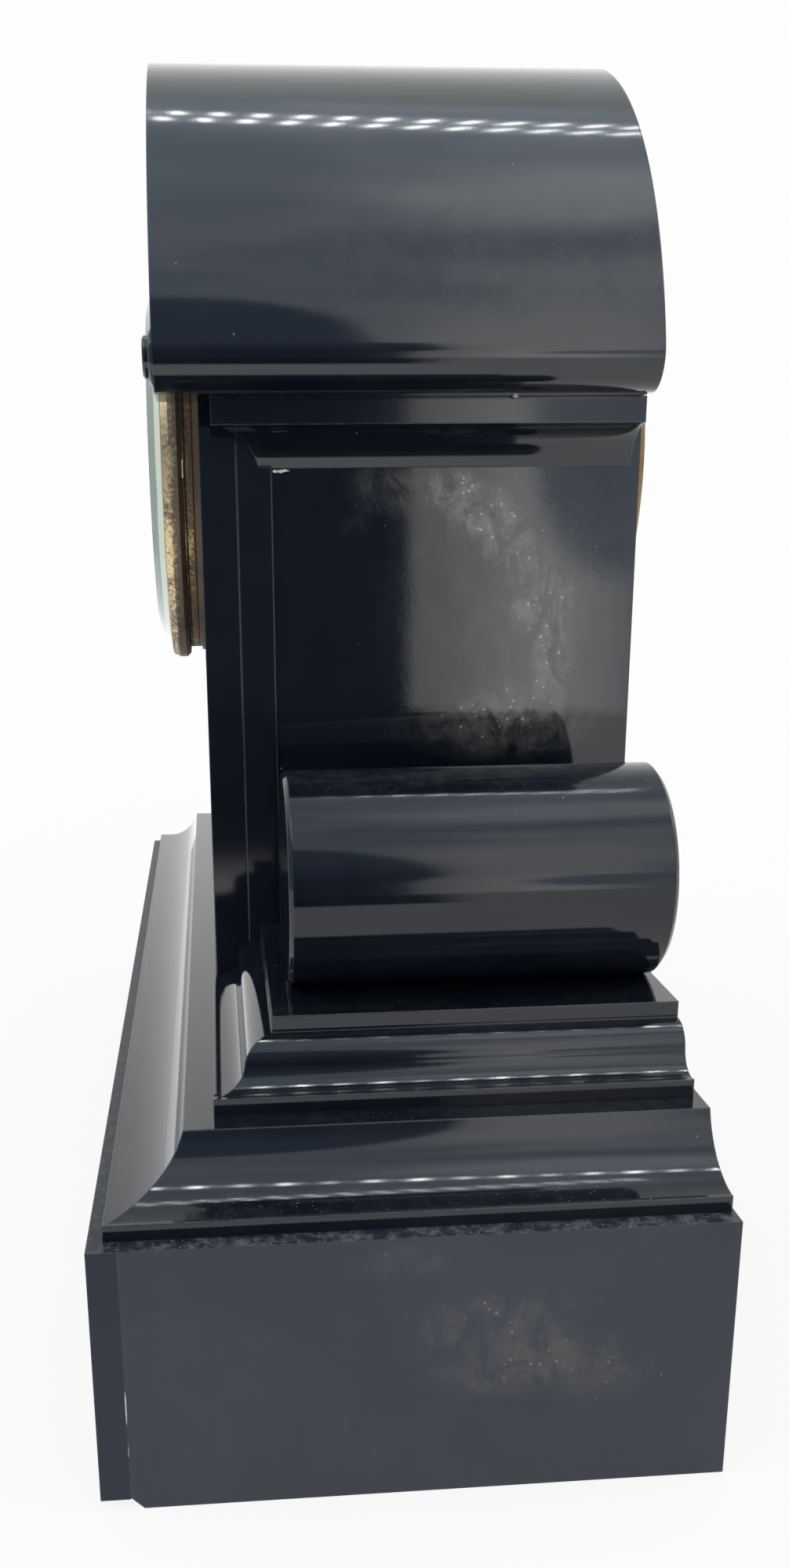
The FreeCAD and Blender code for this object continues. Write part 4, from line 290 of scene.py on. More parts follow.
@dataclass(frozen=True)
class SlateFinish(Finish):
    """Black slate: polished, rubbed matt by handling, or left sawn."""

    polish: Polish = Polish.HIGH
    dark: Colour = (0.0042, 0.0068, 0.0118)
    pale: Colour = (0.0085, 0.0115, 0.0170)
    roughness: float = 0.055
    dust: float = 0.35
    film: float = 0.25
    stain: Colour = (0.085, 0.080, 0.073)
    shine: float = 0.5
    smudge: float = 0.45
    smears: tuple[Smear, ...] = ()
    dust_colour: Colour = (0.17, 0.17, 0.165)
    fleck_colour: Colour = (0.26, 0.26, 0.25)
    # Pale colour for edges: partly real wear, partly a painted highlight along each arris.
    edge_wear_and_highlight: Colour = (0.10, 0.105, 0.11)
    edge_radius: float = 0.0006
    refraction: float = 1.52

    def surface(self, shader: Shader) -> Wire:
        """Stone with clouds, smears, dust, flecks, and edges lightened both by wear and as a painted
        highlight along each arris.

        Args:
            shader: The shader.

        Returns:
            The surface.
        """
        clouds = shader.noise(22.0, 6.0, 0.6, 0.6)
        grain = shader.noise(900.0, 3.0, 0.6)
        rubbing = shader.noise(5.0, 8.0, 0.62, 1.2, shader.place((9.0, 34.0, 50.0), (0.35, 0.1, 0.2)))
        normal = shader.wire("ShaderNodeNewGeometry", {}, "Normal")
        motes = shader.specks(620.0, 0.16) * shader.noise(24.0, 3.0).step(0.44, 0.62)
        film = shader.noise(210.0, 8.0, 0.78).step(0.44, 0.66)
        dusting = (normal.axis(2).step(0.8, 0.98) * (motes + film * self.film) * self.dust).clamped()
        haze = self._haze(shader)
        grit = shader.specks(420.0, 0.2) * haze.step(0.2, 0.5)
        flecks = shader.specks(150.0, 0.045) * shader.noise(30.0, 2.0).step(0.5, 0.62)
        rounded = shader.wire("ShaderNodeBevel", {"Radius": self.edge_radius}, samples=4)
        # Edges and seams found by the bevel are lightened: partly real wear, partly a painted highlight along
        # each arris.
        worn_and_highlit = (1 - shader.vector("DOT_PRODUCT", rounded, normal, 1)).step(0.02, 0.22)
        worn_and_highlit = worn_and_highlit * shader.noise(320.0, 5.0, 0.7).step(0.30, 0.62)
        colour = shader.layered(
            shader.mix(clouds.step(0.35, 0.75), self.dark, self.pale),
            (haze * self.smudge, self.stain),
            (grit * 0.6, tuple(part * 2.6 for part in self.stain)),
            (dusting, self.dust_colour),
            (flecks * 0.7, self.fleck_colour),
            (worn_and_highlit * 0.8, self.edge_wear_and_highlight),
        )
        rough = self.roughness + clouds * 0.03 + rubbing.step(0.5, 0.85) * 0.03 + haze * 0.10
        rough = rough + dusting * 0.3 + worn_and_highlit * 0.2
        relief, depth = self._relief(shader, grain, rubbing)
        return shader.principled({
            "Base Color": colour,
            "Roughness": rough.clamped(),
            "Normal": shader.bump(relief, depth, 1.0, rounded),
            "IOR": self.refraction,
            "Specular IOR Level": self.shine,
        })

    def _haze(self, shader: Shader) -> Wire:
        """The smeared patches.

        Args:
            shader: The shader.

        Returns:
            The haze from 0 to 1.
        """
        streaks = shader.noise(4.0, 7.0, 0.68, 1.2, shader.place((30.0, 22.0, 14.0), (0.3, 0.0, 0.0)))
        if not self.smears:
            return streaks * 0.0
        total: Value = 0.0
        for smear in self.smears:
            stretch = tuple(1.0 / reach for reach in smear.reach)
            total = (1 - shader.span(smear.centre, stretch).step(0.35, 1.0)) * smear.strength + total
        mottle = shader.noise(260.0, 6.0, 0.7).step(0.34, 0.62) * 0.6 + 0.4
        return (total * streaks.step(0.34, 0.62) * mottle).clamped()

    def _relief(self, shader: Shader, grain: Wire, rubbing: Wire) -> tuple[Wire, float]:
        """The height of the face and its depth.

        Args:
            shader: The shader.
            grain: Fine noise.
            rubbing: The marks of polishing.

        Returns:
            The height and the depth of 1 in metres.
        """
        if self.polish is Polish.SAWN:
            saw = shader.noise(1.0, 4.0, 0.6, where=shader.place((6.0, 6.0, 420.0)))
            return saw * 0.7 + shader.noise(120.0, 6.0, 0.65) * 0.6, 0.0009
        if self.polish is Polish.RUBBED:
            return grain * 0.5 + shader.noise(90.0, 4.0) * 0.5, 0.00009
        return grain * 0.0015 + rubbing * 0.004 + shader.noise(14.0, 2.0, 0.4) * 0.12, 0.0009


@dataclass(frozen=True)
class GiltFinish(Finish):
    """Gilding rubbed through to brown and violet metal, with less gold painted towards the bottom as shade.
    """

    gold: Colour = (0.50, 0.36, 0.17)
    brown: Colour = (0.17, 0.105, 0.06)
    violet: Colour = (0.13, 0.085, 0.085)
    # Near-black colour painted into the turned grooves as shade.
    groove_shade: Colour = (0.03, 0.02, 0.014)
    wear: float = 0.5
    fade: Pair = (-0.070, -0.050)
    rib: float = 0.0016
    # Heights below which gold gives way to tarnish: painted shade towards the bottom.
    shaded_low: Pair = (0.0, 0.1)

    def surface(self, shader: Shader) -> Wire:
        """Patches of gold over tarnish, fewer towards the back and fewer towards the bottom as painted shade,
        with turned grooves.

        Args:
            shader: The shader.

        Returns:
            The surface.
        """
        broad = shader.noise(60.0, 6.0, 0.65, 0.8)
        fine = shader.noise(850.0, 6.0, 0.75)
        depth = shader.here.axis(1)
        # Less gold towards the back, and less towards the bottom as painted shade.
        rubbed = depth.step(*self.fade) * 0.16 + (1 - shader.here.axis(2).step(*self.shaded_low)) * 0.09
        patches = (broad * 0.45 + fine * 0.55 - rubbed).step(self.wear - 0.05, self.wear + 0.08)
        half_rib = self.rib / 2
        grooves = 1 - (depth.maths("PINGPONG", depth, half_rib) / half_rib).step(0.0, 0.22)
        tarnish = shader.mix(shader.noise(45.0, 3.0).step(0.42, 0.6), self.brown, self.violet)
        # The turned grooves are painted near-black: painted shade in the grooves.
        colour = shader.layered(tarnish, (patches, self.gold), (grooves * 0.7, self.groove_shade))
        pits = shader.specks(900.0, 0.28)
        return shader.principled({
            "Base Color": colour,
            "Metallic": patches * 0.35 + 0.6,
            "Roughness": 0.55 - patches * 0.2,
            "Normal": shader.bump(fine * 0.6 + pits * -0.5 + broad * 0.3 - grooves * 1.2, 0.0003, 0.8),
        })


@dataclass(frozen=True)
class MetalFinish(Finish):
    """A worked metal with the fine lines of the file or the lathe."""

    base: Colour
    tarnish: Colour
    roughness: float = 0.28
    spread: float = 0.3
    lines: Place = (40.0, 900.0, 40.0)

    def surface(self, shader: Shader) -> Wire:
        """Brushed metal with stains and dark spots.

        Args:
            shader: The shader.

        Returns:
            The surface.
        """
        stain = shader.noise(48.0, 8.0, 0.72, 0.4).step(0.5 - self.spread, 0.5 + self.spread)
        brushed = shader.noise(1.0, 4.0, 0.6, where=shader.place(self.lines))
        colour = shader.mix(stain, self.base, self.tarnish)
        spots = shader.specks(420.0, 0.12) * 0.35
        return shader.principled({
            "Base Color": shader.mix(spots, colour, tuple(part * 0.35 for part in self.tarnish)),
            "Metallic": 1.0,
            "Roughness": self.roughness + stain * 0.14 + brushed * 0.08,
            "Normal": shader.bump(brushed * 0.6 + shader.noise(1400.0, 3.0) * 0.3, 0.00006, 0.7),
        })


@dataclass(frozen=True)
class EnamelFinish(Finish):
    """Fired white enamel, very slightly wavy, with a few grey hairlines."""

    base: Colour = (0.80, 0.79, 0.74)
    shade: Colour = (0.70, 0.68, 0.61)
    crack: Colour = (0.32, 0.30, 0.27)

    def surface(self, shader: Shader) -> Wire:
        """Enamel that has yellowed in places.

        Args:
            shader: The shader.

        Returns:
            The surface.
        """
        age = shader.noise(35.0, 5.0, 0.6).step(0.45, 0.8)
        hairline = shader.cells(28.0, "DISTANCE_TO_EDGE").step(0.0, 0.006)
        hairline = (1 - hairline) * shader.noise(20.0).step(0.56, 0.64)
        return shader.principled({
            "Base Color": shader.layered(self.base, (age * 0.5, self.shade), (hairline * 0.5, self.crack)),
            "Roughness": age * 0.08 + 0.10,
            "Normal": shader.bump(shader.noise(60.0, 2.0), 0.00012, 0.6),
            "Coat Weight": 0.5,
        })


@dataclass(frozen=True)
class MottledFinish(Finish):
    """A matt surface in two tones: the figures' ink, or lumpy plaster whose first tone is painted shade in
    its hollows.
    """

    first: Colour
    second: Colour
    grain: Place
    ramp: Pair
    share: float
    roughness: Pair
    relief: float = 0.0

    def surface(self, shader: Shader) -> Wire:
        """Noise that blends the tones and lifts the surface; with relief, the first tone lies in the low
        parts as painted shade.

        Args:
            shader: The shader.

        Returns:
            The surface.
        """
        noise = shader.noise(*self.grain)
        low, rise = self.roughness
        colour = shader.mix(noise.step(*self.ramp) * self.share, self.first, self.second)
        relief = {"Normal": shader.bump(noise, self.relief, 0.9)} if self.relief else {}
        return shader.principled({"Base Color": colour, "Roughness": noise * rise + low, **relief})


@dataclass(frozen=True)
class GlassFinish(Finish):
    """Clear old glass with a faint green body, fine dust and a ground bevel."""

    tint: Colour = (0.95, 0.985, 0.965)
    grime: Colour = (0.62, 0.70, 0.66)
    edge: Colour = (0.125, 0.195, 0.165)
    # Pale colour of a band painted on the bevel as light seen through the glass.
    painted_light_stripe: Colour = (0.54, 0.62, 0.49)
    centre: Place = (0.0, 0.0, 0.2348)
    bevel: Pair = (0.0485, 0.0574)

    def surface(self, shader: Shader) -> Wire:
        """Clear glass inside the bevel, and a green edge with one pale band on it, painted light for the
        white surround seen through the bevel.

        Args:
            shader: The shader.

        Returns:
            The surface.
        """
        grime = shader.noise(240.0, 6.0, 0.7).step(0.6, 0.86)
        clear = shader.principled({
            "Base Color": shader.mix(grime * 0.5, self.tint, self.grime),
            "Roughness": grime * 0.12 + 0.01,
            "Normal": shader.bump(shader.noise(40.0, 2.0), 0.00008, 0.5),
            "Transmission Weight": 1.0,
            "IOR": 1.5,
        })
        inner, outer = self.bevel
        radius = shader.span(self.centre, (1.0, 0.0, 1.0))
        across = (radius - inner) / (outer - inner)
        # A pale band painted across the ground bevel: painted light, the white surround seen through the
        # glass.
        painted_light_stripe = (across + shader.noise(30.0, 2.0) * 0.2).step(0.55, 0.68) * (1 - across.step(0.9, 0.97))
        edge = shader.mix(painted_light_stripe, self.edge, self.painted_light_stripe)
        ground = shader.principled({"Base Color": edge, "Roughness": 0.12})
        return shader.blend(radius.step(inner, inner + 0.0004) * 0.88, clear, ground)


def dress(finishes: Finishes, nodes: dict[str, tuple[str, ...]]) -> None:
    """Gives CAD nodes their finishes.

    Args:
        finishes: Every finish by name.
        nodes: The nodes that get each finish.
    """
    for finish, names in nodes.items():
        for name in names:
            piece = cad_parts[name]
            if not piece.material_slots:
                piece.data.materials.append(finishes[finish])
            for slot in piece.material_slots:
                slot.material = finishes[finish]
            LOG.info("dressed %s in %s", name, finish)


def corners(node: str) -> tuple[Vector, Vector]:
    """The lowest and highest corner of a CAD node at rest, in metres."""
    return tuple(Vector(corner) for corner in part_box(node))


def middle(node: str) -> Vector:
    """The middle of a CAD node's box at rest, in metres."""
    return sum(corners(node), Vector()) / 2


def linked(name: str, data: bpy.types.ID) -> bpy.types.Object:
    """Makes an object and links it to the scene."""
    bpy.context.scene.collection.objects.link(made := bpy.data.objects.new(name, data))
    return made


def plain_mesh(carrier: bpy.types.Object) -> Mesh:
    """Turns an object with its modifiers into a plain mesh and removes the object.

    Args:
        carrier: The object.

    Returns:
        The mesh.
    """
    depsgraph = bpy.context.evaluated_depsgraph_get()
    result = bpy.data.meshes.new_from_object(carrier.evaluated_get(depsgraph), depsgraph=depsgraph)
    carrier.modifiers.clear()
    bpy.data.objects.remove(carrier)
    return result


def add_piece(name: str, mesh: Mesh, body: str, material: Optional[Material] = None) -> None:
    """Links a finished mesh and lets it ride on a body.

    Args:
        name: The piece's name.
        mesh: Its mesh, in the clock's frame.
        body: The body that carries it.
        material: Its finish, if the mesh has none yet.
    """
    mesh.name = name
    if material is not None:
        mesh.materials.clear()
        mesh.materials.append(material)
    piece = linked(name, mesh)
    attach(piece, body)
    LOG.info("built %s on %s with %d faces", name, body, len(mesh.polygons))


def mesh_of(shape: bmesh.types.BMesh, smooth: bool = True) -> Mesh:
    """Turns a bmesh into a mesh with its faces outwards.

    Args:
        shape: The bmesh, freed here.
        smooth: Whether blunt edges look smooth.

    Returns:
        The mesh.
    """
    bmesh.ops.remove_doubles(shape, verts=shape.verts, dist=MERGE_BELOW)
    bmesh.ops.recalc_face_normals(shape, faces=shape.faces)
    mesh = bpy.data.meshes.new("shape")
    shape.to_mesh(mesh)
    shape.free()
    if smooth:
        mesh.shade_smooth()
        mesh.set_sharp_from_angle(angle=SMOOTH_BELOW)
    return mesh


def turned(outline: Sequence[Pair], centre: Vector, steps: int = 160, smooth: bool = True) -> Mesh:
    """Turns a closed outline round a line along Y.

    Args:
        outline: Radius and Y in millimetres; Y is in the clock's frame.
        centre: A point on the line.
        steps: The number of steps round it.
        smooth: Whether blunt edges look smooth.

    Returns:
        The mesh.
    """
    shape = bmesh.new()
    rings = []
    for step in range(steps):
        across, up = math.cos(TURN * step / steps), math.sin(TURN * step / steps)
        rings.append([
            shape.verts.new((centre.x + radius * MM * across, depth * MM, centre.z + radius * MM * up))
            for radius, depth in outline
        ])
    for here, there in zip(rings, rings[1:] + rings[:1]):
        for index in range(len(outline)):
            after = (index + 1) % len(outline)
            shape.faces.new((here[index], here[after], there[after], there[index]))
    return mesh_of(shape, smooth)


class GeometryTree(Nodes):
    """A Geometry Nodes tree with named inputs that is baked to a plain mesh."""

    def __init__(self, name: str, **kinds: str) -> None:
        """Starts the tree with its inputs and its output.

        Args:
            name: Its name.
            kinds: The kind of each named input, such as Float.
        """
        super().__init__(bpy.data.node_groups.new(name, "GeometryNodeTree"))
        sockets = self.tree.interface
        for way in ("INPUT", "OUTPUT"):
            sockets.new_socket("Geometry", in_out=way, socket_type="NodeSocketGeometry")
        self.identifiers = {
            size: sockets.new_socket(size, in_out="INPUT", socket_type=f"NodeSocket{kind}").identifier
            for size, kind in kinds.items()
        }
        start = self.node("NodeGroupInput", {})
        self.points, *self.sizes = (Wire(self, start.outputs[size]) for size in ("Geometry", *kinds))

    def bake(self, geometry: Wire, material: Material, points: Iterable[Vector],
             values: dict[str, object]) -> Mesh:
        """Ends the tree in real geometry with a material, and runs it.

        Args:
            geometry: The geometry, instances allowed.
            material: The finish.
            points: The loose points that go in.
            values: The named inputs' values.

        Returns:
            The plain result.
        """
        real = self.wire("GeometryNodeRealizeInstances", {0: geometry})
        dressed = self.wire("GeometryNodeSetMaterial", {"Geometry": real, "Material": material})
        self.node("NodeGroupOutput", {0: dressed})
        mesh = bpy.data.meshes.new("points")
        mesh.from_pydata([tuple(point) for point in points], [], [])
        carrier = linked("carrier", mesh)
        modifier = carrier.modifiers.new("build", "NODES")
        modifier.node_group = self.tree
        for name, value in values.items():
            modifier[self.identifiers[name]] = value
        return plain_mesh(carrier)


def ring_of_bars(name: str, material: Material, values: dict[str, object]) -> Mesh:
    """Bars on a circle in the XY plane, some of them larger.

    Args:
        name: The tree's name.
        material: The bars' finish.
        values: How many bars, the circle's radius, a bar's sides, how often one is large, and its stretch.

    Returns:
        The mesh.
    """
    tree = GeometryTree(name, Count="Int", Radius="Float", Bar="Vector", Every="Int", Large="Vector")
    count, radius, bar, every, large = tree.sizes
    circle = tree.wire("GeometryNodeMeshCircle", {"Vertices": count, "Radius": radius})
    cube = tree.wire("GeometryNodeMeshCube", {"Size": bar})
    index = tree.wire("GeometryNodeInputIndex", {})
    rest = index.maths("MODULO", index, every)
    first = tree.wire("FunctionNodeCompare", {0: rest, 1: 0.5}, operation="LESS_THAN")
    choice = {"Switch": first, "False": UNIT, "True": large}
    scale = tree.wire("GeometryNodeSwitch", choice, input_type="VECTOR")
    position = tree.wire("GeometryNodeInputPosition", {})
    turn = tree.wire("FunctionNodeAlignRotationToVector", {"Vector": position}, axis="X")
    inputs = {"Points": circle, "Instance": cube, "Rotation": turn, "Scale": scale}
    return tree.bake(tree.wire("GeometryNodeInstanceOnPoints", inputs), material, (), values)


def screw_heads(name: str, material: Material, points: Iterable[Vector], values: dict[str, object]) -> Mesh:
    """Slotted cheese heads that face backwards from each point.

    Args:
        name: The tree's name.
        material: The heads' finish.
        points: Where the heads sit.
        values: A head's radius and height, the sides of the cutter for its slot, and the seed of its turn.

    Returns:
        The mesh.
    """
    tree = GeometryTree(name, Radius="Float", Height="Float", Slot="Vector", Seed="Int")
    radius, height, slot, seed = tree.sizes
    head = tree.wire("GeometryNodeMeshCylinder", {"Vertices": 28, "Radius": radius, "Depth": height})
    cutter = tree.wire("GeometryNodeMeshCube", {"Size": slot})
    lift = tree.wire("ShaderNodeCombineXYZ", {2: height * 0.5})
    raised = tree.wire("GeometryNodeTransform", {"Geometry": cutter, "Translation": lift})
    slotted = tree.wire("GeometryNodeMeshBoolean", {0: head, 1: raised}, operation="DIFFERENCE")
    seated = tree.wire("GeometryNodeTransform", {"Geometry": slotted, "Translation": lift})
    facing = tree.wire("GeometryNodeTransform", {"Geometry": seated, "Rotation": (-QUARTER, 0.0, 0.0)})
    chance = {2: 0.0, 3: math.pi, "Seed": seed}
    spin = tree.wire("FunctionNodeRandomValue", chance, 1, data_type="FLOAT")
    turn = tree.wire("ShaderNodeCombineXYZ", {1: spin})
    inputs = {"Points": tree.points, "Instance": facing, "Rotation": turn}
    return tree.bake(tree.wire("GeometryNodeInstanceOnPoints", inputs), material, points, values)


PANEL_SMEARS = face_smears(
    0.0776, 0.03,
    (0.0177, 0.2270, 0.010, 0.008, 1.0),
    (0.0255, 0.2211, 0.012, 0.010, 0.9),
    (0.0345, 0.2126, 0.010, 0.012, 0.9),
    (0.0439, 0.1976, 0.012, 0.016, 1.0),
    (0.0482, 0.1778, 0.008, 0.018, 0.9),
    (0.0334, 0.1669, 0.016, 0.010, 0.5),
    (-0.0083, 0.2169, 0.006, 0.005, 0.10),
    (0.0020, 0.2270, 0.016, 0.010, 0.35),
    (0.0350, 0.2000, 0.045, 0.055, 0.14),
    (0.0330, 0.1610, 0.036, 0.0115, 0.42),
)
BASE_SMEARS = face_smears(
    0.20, 0.05,
    (0.0045, 0.0437, 0.014, 0.010, 1.0),
    (0.0208, 0.0407, 0.014, 0.014, 0.9),
    (0.0120, 0.0309, 0.020, 0.008, 0.7),
    (-0.0100, 0.0605, 0.012, 0.006, 0.5),
    (0.0339, 0.0316, 0.016, 0.012, 0.5),
)
FINISHES: tuple[Finish, ...] = (
    SlateFinish("slate_hood", dust=0.04, smears=(Smear((0.10, 0.03, 0.285), (0.07, 0.07, 0.03), 0.35),)),
    SlateFinish("slate_polished"),
    SlateFinish("slate_roll", shine=0.35),
    SlateFinish("slate_moulding", roughness=0.040, shine=0.40, film=0.12),
    SlateFinish("slate_panel", roughness=0.024, smudge=0.75, stain=(0.21, 0.205, 0.185), smears=PANEL_SMEARS),
    # The base front slab's copy of the rubbed slate is darker and bluer than the sides': painted shade on
    # that face.
    SlateFinish("slate_rubbed_front_shaded", Polish.RUBBED, (0.0035, 0.0100, 0.021), (0.006, 0.0140, 0.027),
                roughness=0.40, dust=1.0, film=0.55, shine=0.30),
    SlateFinish("slate_rubbed", Polish.RUBBED, (0.0072, 0.0130, 0.0235), (0.0145, 0.021, 0.035),
                roughness=0.40, dust=1.0, film=0.55, shine=0.42, smudge=0.7, smears=BASE_SMEARS),
    SlateFinish("slate_sawn", Polish.SAWN, (0.045, 0.047, 0.05), (0.10, 0.10, 0.105),
                roughness=0.72, dust=0.5),
    GiltFinish("gilt_bead", wear=0.44, gold=(0.62, 0.50, 0.29), brown=(0.185, 0.140, 0.098),
               fade=(-0.0605, -0.0565), rib=0.1, shaded_low=(0.170, 0.235)),
    GiltFinish("gilt_bezel_ring", gold=(0.56, 0.42, 0.23), brown=(0.22, 0.155, 0.095),
               violet=(0.16, 0.115, 0.115), fade=(-0.055, -0.051), rib=0.0023),
    MetalFinish("clock_brass", (0.72, 0.53, 0.24), (0.45, 0.31, 0.13)),
    MetalFinish("aged_brass", (0.34, 0.225, 0.12), (0.21, 0.13, 0.075), 0.42),
    MetalFinish("bell_metal", (0.66, 0.55, 0.40), (0.42, 0.32, 0.20), 0.24, lines=(700.0, 700.0, 700.0)),
    MetalFinish("bright_steel", (0.52, 0.52, 0.53), (0.25, 0.24, 0.22), 0.26),
    MetalFinish("blued_steel", (0.022, 0.035, 0.17), (0.05, 0.03, 0.10), 0.22),
    EnamelFinish("white_enamel"),
    MottledFinish("dial_black", (0.012, 0.012, 0.014), (0.06, 0.06, 0.06), (500.0, 4.0, 0.6),
                  (0.5, 0.9), 0.4, (0.2, 0.2)),
    GlassFinish("bezel_glass"),
    # The plaster's first, darker tone follows the low parts of its lumps: painted shade.
    MottledFinish("plaster", (0.62, 0.60, 0.56), (0.86, 0.85, 0.82), (900.0, 6.0, 0.7),
                  (0.35, 0.7), 1.0, (0.8, 0.15), 0.0006),
)


@dataclass
class StoneCase:
    """The slate slabs, mouldings, hood and rolls, with the plaster at their joints."""

    finishes: Finishes
    lump: Place = (0.3, 1.6, 0.42)
    line: Place = (0.10, 0.15, 4.4)
    chips: tuple[tuple[float, float, float, float], ...] = (
        (77.9, -29.6, 231.6, 1.05),
        (77.9, -27.6, 231.8, 0.7),
        (88.9, -24.0, 249.3, 0.5),
        (92.0, 32.0, 249.3, 0.5),
    )
    seam_plaster: tuple[Pair, ...] = ((27.0, 1.0), (15.5, 0.35))
    wobble: float = 0.3
    ripples: Pair = (2900.0, 3700.0)

    def build(self) -> None:
        """Dresses the slabs and adds the plaster."""
        dress(self.finishes, {
            "slate_hood": ("hood_arch",),
            "slate_polished": ("front_slab", "front_backing_slab", "right_cornice", "left_cornice",
                               "left_roundel", "right_roundel"),
            "slate_moulding": ("upper_plinth_slab", "lower_plinth_slab"),
            "slate_roll": ("right_roll", "left_roll"),
            "slate_panel": ("right_side_panel", "left_side_panel"),
            "slate_rubbed": ("base_right_slab", "base_left_slab"),
            "slate_rubbed_front_shaded": ("base_front_slab",),
            "slate_sawn": ("base_back_slab", "back_slab"),
        })
        self._plaster()

    def _plaster(self) -> None:
        """Small lumps of plaster squeezed out of the joints."""
        shape = bmesh.new()
        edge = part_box("base_right_slab")[1][0] / MM
        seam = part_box("base_front_slab")[1][1] / MM
        chips = [(chip, self.lump) for chip in self.chips]
        chips += [((edge, seam, height, size), self.line) for height, size in self.seam_plaster]
        for index, ((x, y, z, size), stretched) in enumerate(chips):
            placed = Matrix.Translation(Vector((x, y, z)) * MM) @ Matrix.Diagonal((*stretched, 1.0))
            made = bmesh.ops.create_icosphere(shape, subdivisions=3, radius=size * MM, matrix=placed)
            swell = Vector((0.1, 0.5 * stretched[1], 0.6)) * self.wobble * size * MM
            along, up = self.ripples
            for vertex in made["verts"]:
                wave = math.sin(vertex.co.y * along + index) * math.cos(vertex.co.z * up + 2 * index)
                vertex.co += swell * wave
        add_piece("joint_plaster", mesh_of(shape), "case", self.finishes["plaster"])


@dataclass
class Bezel:
    """The bezel's rings and glass, and the gilt sight ring behind the glass."""

    finishes: Finishes
    sight_outer: float = 51.9
    sight_inner: float = 49.6
    sight_depth: float = 3.2

    def build(self) -> None:
        """Dresses the rings and adds the sight ring."""
        dress(self.finishes, {
            "gilt_bezel_ring": ("bezel_ring",),
            "gilt_bead": ("bezel_door_ring",),
            "bezel_glass": ("bevelled_glass",),
            "bright_steel": ("hinge_pins",),
        })
        outer, inner = self.sight_outer, self.sight_inner
        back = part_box("bevelled_glass")[1][1] / MM
        end = back + self.sight_depth
        outline = (
            (outer, back + 0.05), (inner + 0.5, back + 0.05), (inner, back + 0.5), (inner + 0.2, back + 1.1),
            (inner + 1.0, back + 1.5), (inner + 1.2, back + 2.4), (outer - 0.3, end), (outer, end),
        )
        ring = turned(outline, middle("bevelled_glass"))
        add_piece("sight_ring", ring, "bezel_door", self.finishes["gilt_bead"])


@dataclass
class Dial:
    """The enamel dial with its figures, minute track and eyelets."""

    finishes: Finishes
    figure_radius: float = 36.5
    figure_height: float = 8.6
    letter_size: float = 1.35
    squeeze: float = 0.74
    figures: str = "XII I II III IIII V VI VII VIII IX X XI"
    track_inner: float = 43.2
    track_outer: float = 46.6
    line_width: float = 0.22
    minutes: int = 60
    large_every: int = 5
    large_width: float = 3.4
    film: float = 0.04
    eyelet_offset: Pair = (22.0, -10.0)
    eyelet_hole: float = 4.0
    eyelet_radius: float = 4.8

    def build(self) -> None:
        """Dresses the plate and adds what is on it."""
        dress(self.finishes, {"white_enamel": ("dial_plate",)})
        self.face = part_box("dial_plate")[0][1] / MM
        self.centre = middle("dial_plate")
        put = Matrix.Translation((self.centre.x, (self.face - self.film / 2) * MM, self.centre.z))
        self.stand = put @ Matrix.Rotation(QUARTER, 4, "X")
        self._figures()
        self._track()
        for side, name in ((1, "right_eyelet"), (-1, "left_eyelet")):
            self._eyelet(name, side)

    def _figures(self) -> None:
        """Roman figures that stand on the centre."""
        shape = bmesh.new()
        figures = self.figures.split()
        for index, figure in enumerate(figures):
            curve = bpy.data.curves.new("figure", "FONT")
            curve.body = figure
            curve.align_x = curve.align_y = "CENTER"
            curve.size = self.figure_height * MM * self.letter_size
            curve.extrude = self.film * MM / 2
            mesh = plain_mesh(linked("figure", curve))
            raise_up = Matrix.Translation((0.0, self.figure_radius * MM, 0.0))
            spin = Matrix.Rotation(-TURN * index / len(figures), 4, "Z")
            mesh.transform(self.stand @ spin @ raise_up @ Matrix.Diagonal((self.squeeze, 1.0, 1.0, 1.0)))
            shape.from_mesh(mesh)
            bpy.data.meshes.remove(mesh)
        mesh = mesh_of(shape, smooth=False)
        add_piece("dial_figures", mesh, "case", self.finishes["dial_black"])

    def _track(self) -> None:
        """Minute strokes between two fine rings."""
        ink = self.finishes["dial_black"]
        strokes = ring_of_bars("minute_strokes", ink, {
            "Count": self.minutes,
            "Radius": (self.track_outer + self.track_inner) / 2 * MM,
            "Bar": ((self.track_outer - self.track_inner) * MM, self.line_width * MM, self.film * MM),
            "Every": self.large_every,
            "Large": (1.0, self.large_width, 1.0),
        })
        strokes.transform(self.stand)
        add_piece("minute_strokes", strokes, "case")
        half, front = self.line_width / 2, self.face - self.film
        rings = bmesh.new()
        for radius in (self.track_inner, self.track_outer):
            inner, outer = radius - half, radius + half
            outline = ((inner, self.face), (inner, front), (outer, front), (outer, self.face))
            part = turned(outline, self.centre, steps=200, smooth=False)
            rings.from_mesh(part)
            bpy.data.meshes.remove(part)
        add_piece("minute_rings", mesh_of(rings, smooth=False), "case", ink)

    def _eyelet(self, name: str, side: int) -> None:
        """The rolled brass eyelet round one winding hole.

        Args:
            name: Its name.
            side: 1 for the right one and -1 for the left one.
        """
        x, z = self.eyelet_offset
        place = self.centre + Vector((side * x, 0.0, z)) * MM
        inner, outer, face = self.eyelet_hole - 0.35, self.eyelet_radius, self.face
        outline = (
            (inner, face + 0.9), (inner, face - 0.15), (inner + 0.2, face - 0.35), (outer - 0.3, face - 0.3),
            (outer, face - 0.02), (outer - 0.1, face), (inner + 0.34, face), (inner + 0.34, face + 0.9),
        )
        mesh = turned(outline, place, steps=72)
        add_piece(name, mesh, "case", self.finishes["clock_brass"])


